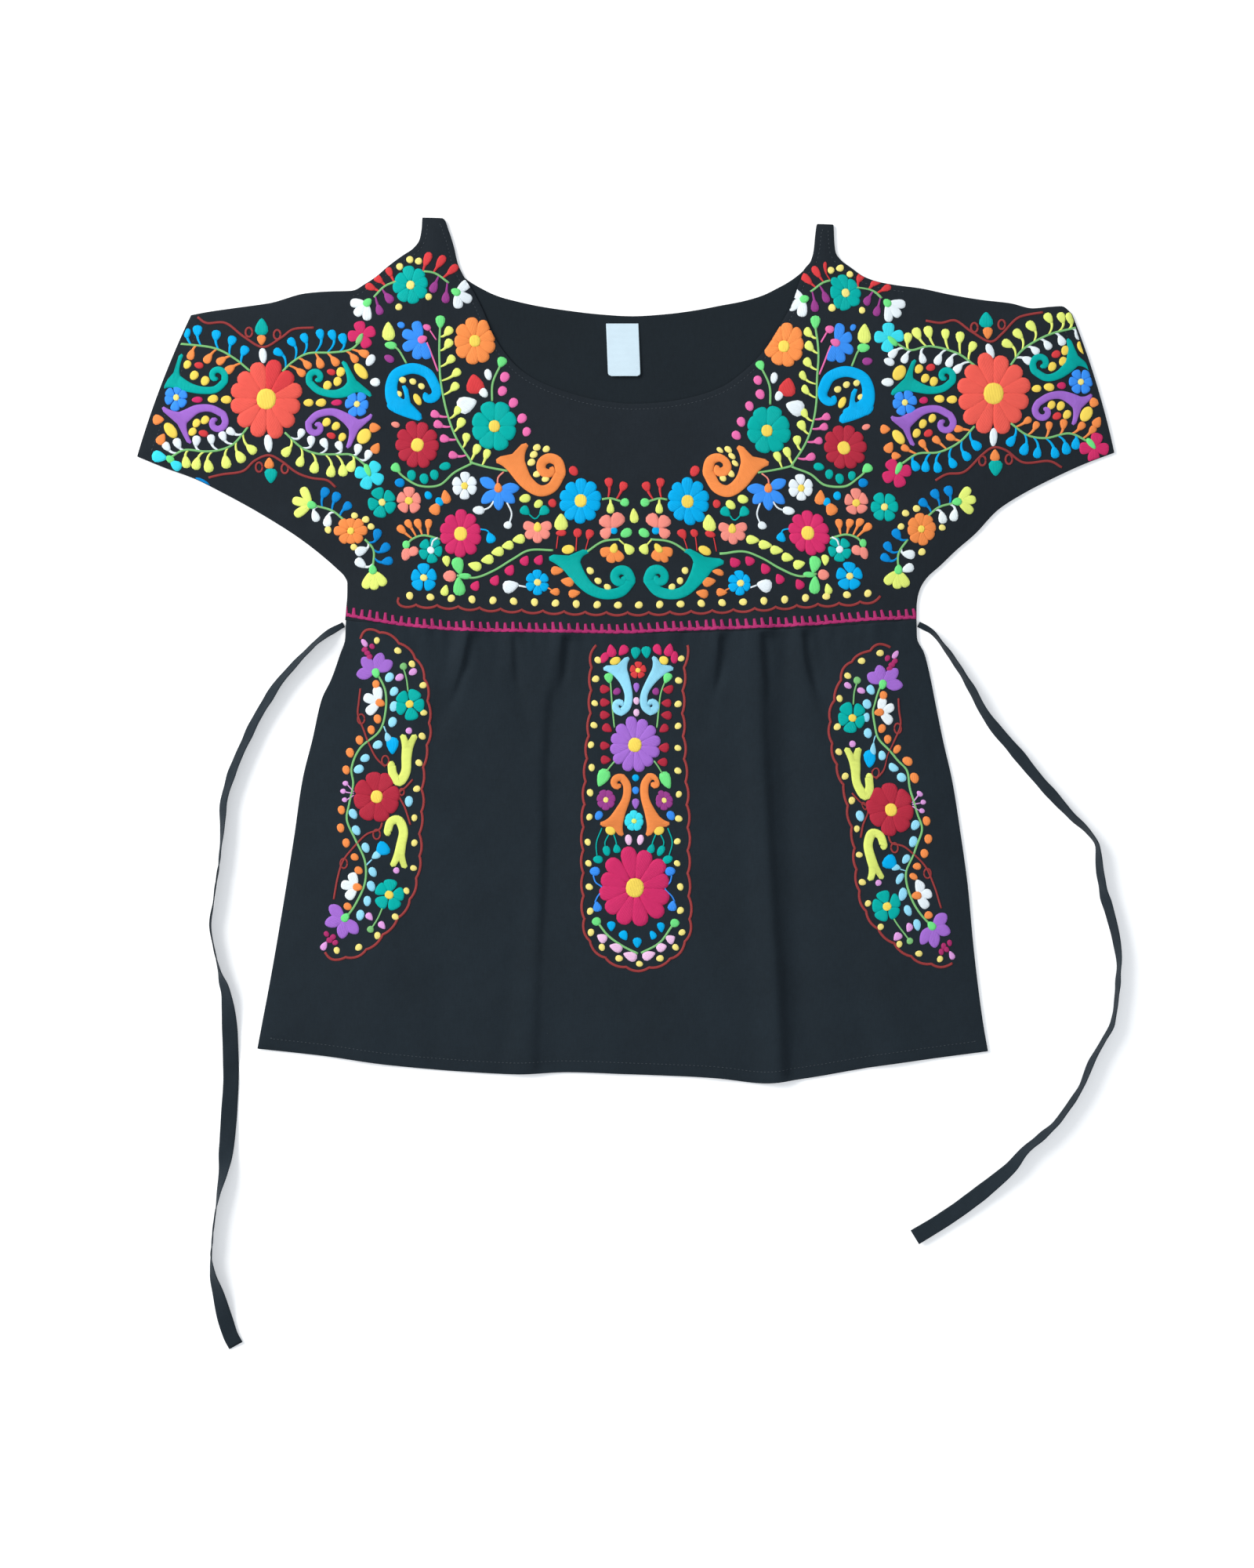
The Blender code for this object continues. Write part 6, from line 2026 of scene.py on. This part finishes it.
class BLOUSE_OT_skirt_embroidery(bpy.types.Operator):
    """Stitches the three tall motifs of the skirt with their scalloped borders"""

    bl_idname = "blouse.skirt_embroidery"
    bl_label = "Skirt embroidery"

    def execute(self, context):
        halves = ((SKIRT_UPPER, UPPER_TURN), (SKIRT_LOWER, LOWER_TURN), (SKIRT_FOOT, FOOT_TURN))
        both = [chart for rows, turned in halves for chart in ((rows,), (rows, turned))]
        embroider(context, "middle_skirt_embroidery", 41, (SKIRT_EDGING,), *both, (SKIRT_MIDDLE,))
        embroider(context, "left_skirt_embroidery", 42, (SIDE_EDGING,), (SKIRT_SIDE,))
        embroider(context, "right_skirt_embroidery", 43, (RIGHT_SIDE_EDGING,), (SKIRT_SIDE, SKIRT_TURN))
        return {"FINISHED"}


class BLOUSE_OT_seam_stitches(bpy.types.Operator):
    """Stitches the blanket stitch along the waist and the fine machine stitches of hems and openings"""

    bl_idname = "blouse.seam_stitches"
    bl_label = "Waist and hem stitches"

    def execute(self, context):
        embroider(context, "waist_blanket_stitch", 51, (WAIST_ROW,))
        needle = start_needle(context, 52)
        black = tuple(context.scene.blouse_cloth.colour)
        needle.threads = {"black": black}
        for edge, place in LaidCloth.STITCH_LINE.items():
            middle, turn = needle.cloth.stitch_places(edge, place, STITCH_PITCH)
            needle.pads(middle / SQUARE, *HEM_STITCH, turn, "black", 0, *HEM_STITCH_RISE, form=DASH)
        needle.finish("machine_stitches", sewing_thread(black))
        return {"FINISHED"}


class BLOUSE_OT_back(bpy.types.Operator):
    """Makes the back's yoke and skirt, which lie underneath"""

    bl_idname = "blouse.back"
    bl_label = "Back"

    def execute(self, context):
        x, y = yoke_plan("back", *BACK_YOKE_GRID)
        yoke = back_panel(context, "back_yoke_cloth", x, y)
        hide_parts("back_yoke")
        SEAM_SHARE * plan_area(x, y)
        skirt = back_panel(context, "back_skirt_cloth", *fine_skirt_plan(*BACK_SKIRT_GRID))
        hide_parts("back_skirt")
        return {"FINISHED"}


class BLOUSE_OT_front(bpy.types.Operator):
    """Makes the front's yoke and skirt"""

    bl_idname = "blouse.front"
    bl_label = "Front"

    ON_YOKE = (
        "left_sleeve_embroidery", "right_sleeve_embroidery", "left_underarm_spray", "right_underarm_spray",
        "left_shoulder_spray", "right_shoulder_spray", "left_yoke_embroidery", "right_yoke_embroidery",
        "yoke_border", "waist_blanket_stitch", "machine_stitches",
    )
    ON_SKIRT = ("middle_skirt_embroidery", "left_skirt_embroidery", "right_skirt_embroidery")

    def execute(self, context):
        x, y = yoke_plan("front", *FRONT_YOKE_GRID)
        yoke = front_panel(context, "front_yoke_cloth", x, y)
        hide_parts("front_yoke")
        SEAM_SHARE * plan_area(x, y)
        skirt = front_panel(context, "front_skirt_cloth", *fine_skirt_plan(*FRONT_SKIRT_GRID))
        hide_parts("front_skirt")
        return {"FINISHED"}


OPERATORS = (
    BLOUSE_OT_stage,
    BLOUSE_OT_ties,
    BLOUSE_OT_label,
    BLOUSE_OT_sleeve_embroidery,
    BLOUSE_OT_shoulder_sprays,
    BLOUSE_OT_yoke_embroidery,
    BLOUSE_OT_skirt_embroidery,
    BLOUSE_OT_seam_stitches,
    BLOUSE_OT_back,
    BLOUSE_OT_front,
)
SETTINGS = {"blouse_cloth": ClothSettings, "blouse_stitch": StitchSettings, "blouse_stage": StageSettings}


class BLOUSE_PT_panel(bpy.types.Panel):
    """Lists the blouse's settings and pieces in the sidebar"""

    bl_label = "Blouse"
    bl_space_type = "VIEW_3D"
    bl_region_type = "UI"
    bl_category = "Blouse"

    def draw(self, context):
        for name, settings in SETTINGS.items():
            box = self.layout.box()
            for field in settings.__annotations__:
                box.prop(getattr(context.scene, name), field)
        for operator in OPERATORS:
            self.layout.operator(operator.bl_idname)


def register():
    for made in (*SETTINGS.values(), *OPERATORS, BLOUSE_PT_panel):
        bpy.utils.register_class(made)
    for name, settings in SETTINGS.items():
        setattr(bpy.types.Scene, name, PointerProperty(type=settings))


def unregister():
    for name in SETTINGS:
        delattr(bpy.types.Scene, name)
    for made in (BLOUSE_PT_panel, *reversed(OPERATORS), *SETTINGS.values()):
        bpy.utils.unregister_class(made)


def main():
    register()
    for operator in OPERATORS:
        getattr(bpy.ops.blouse, operator.bl_idname.split(".")[1])()


if __name__ == "__main__":
    main()
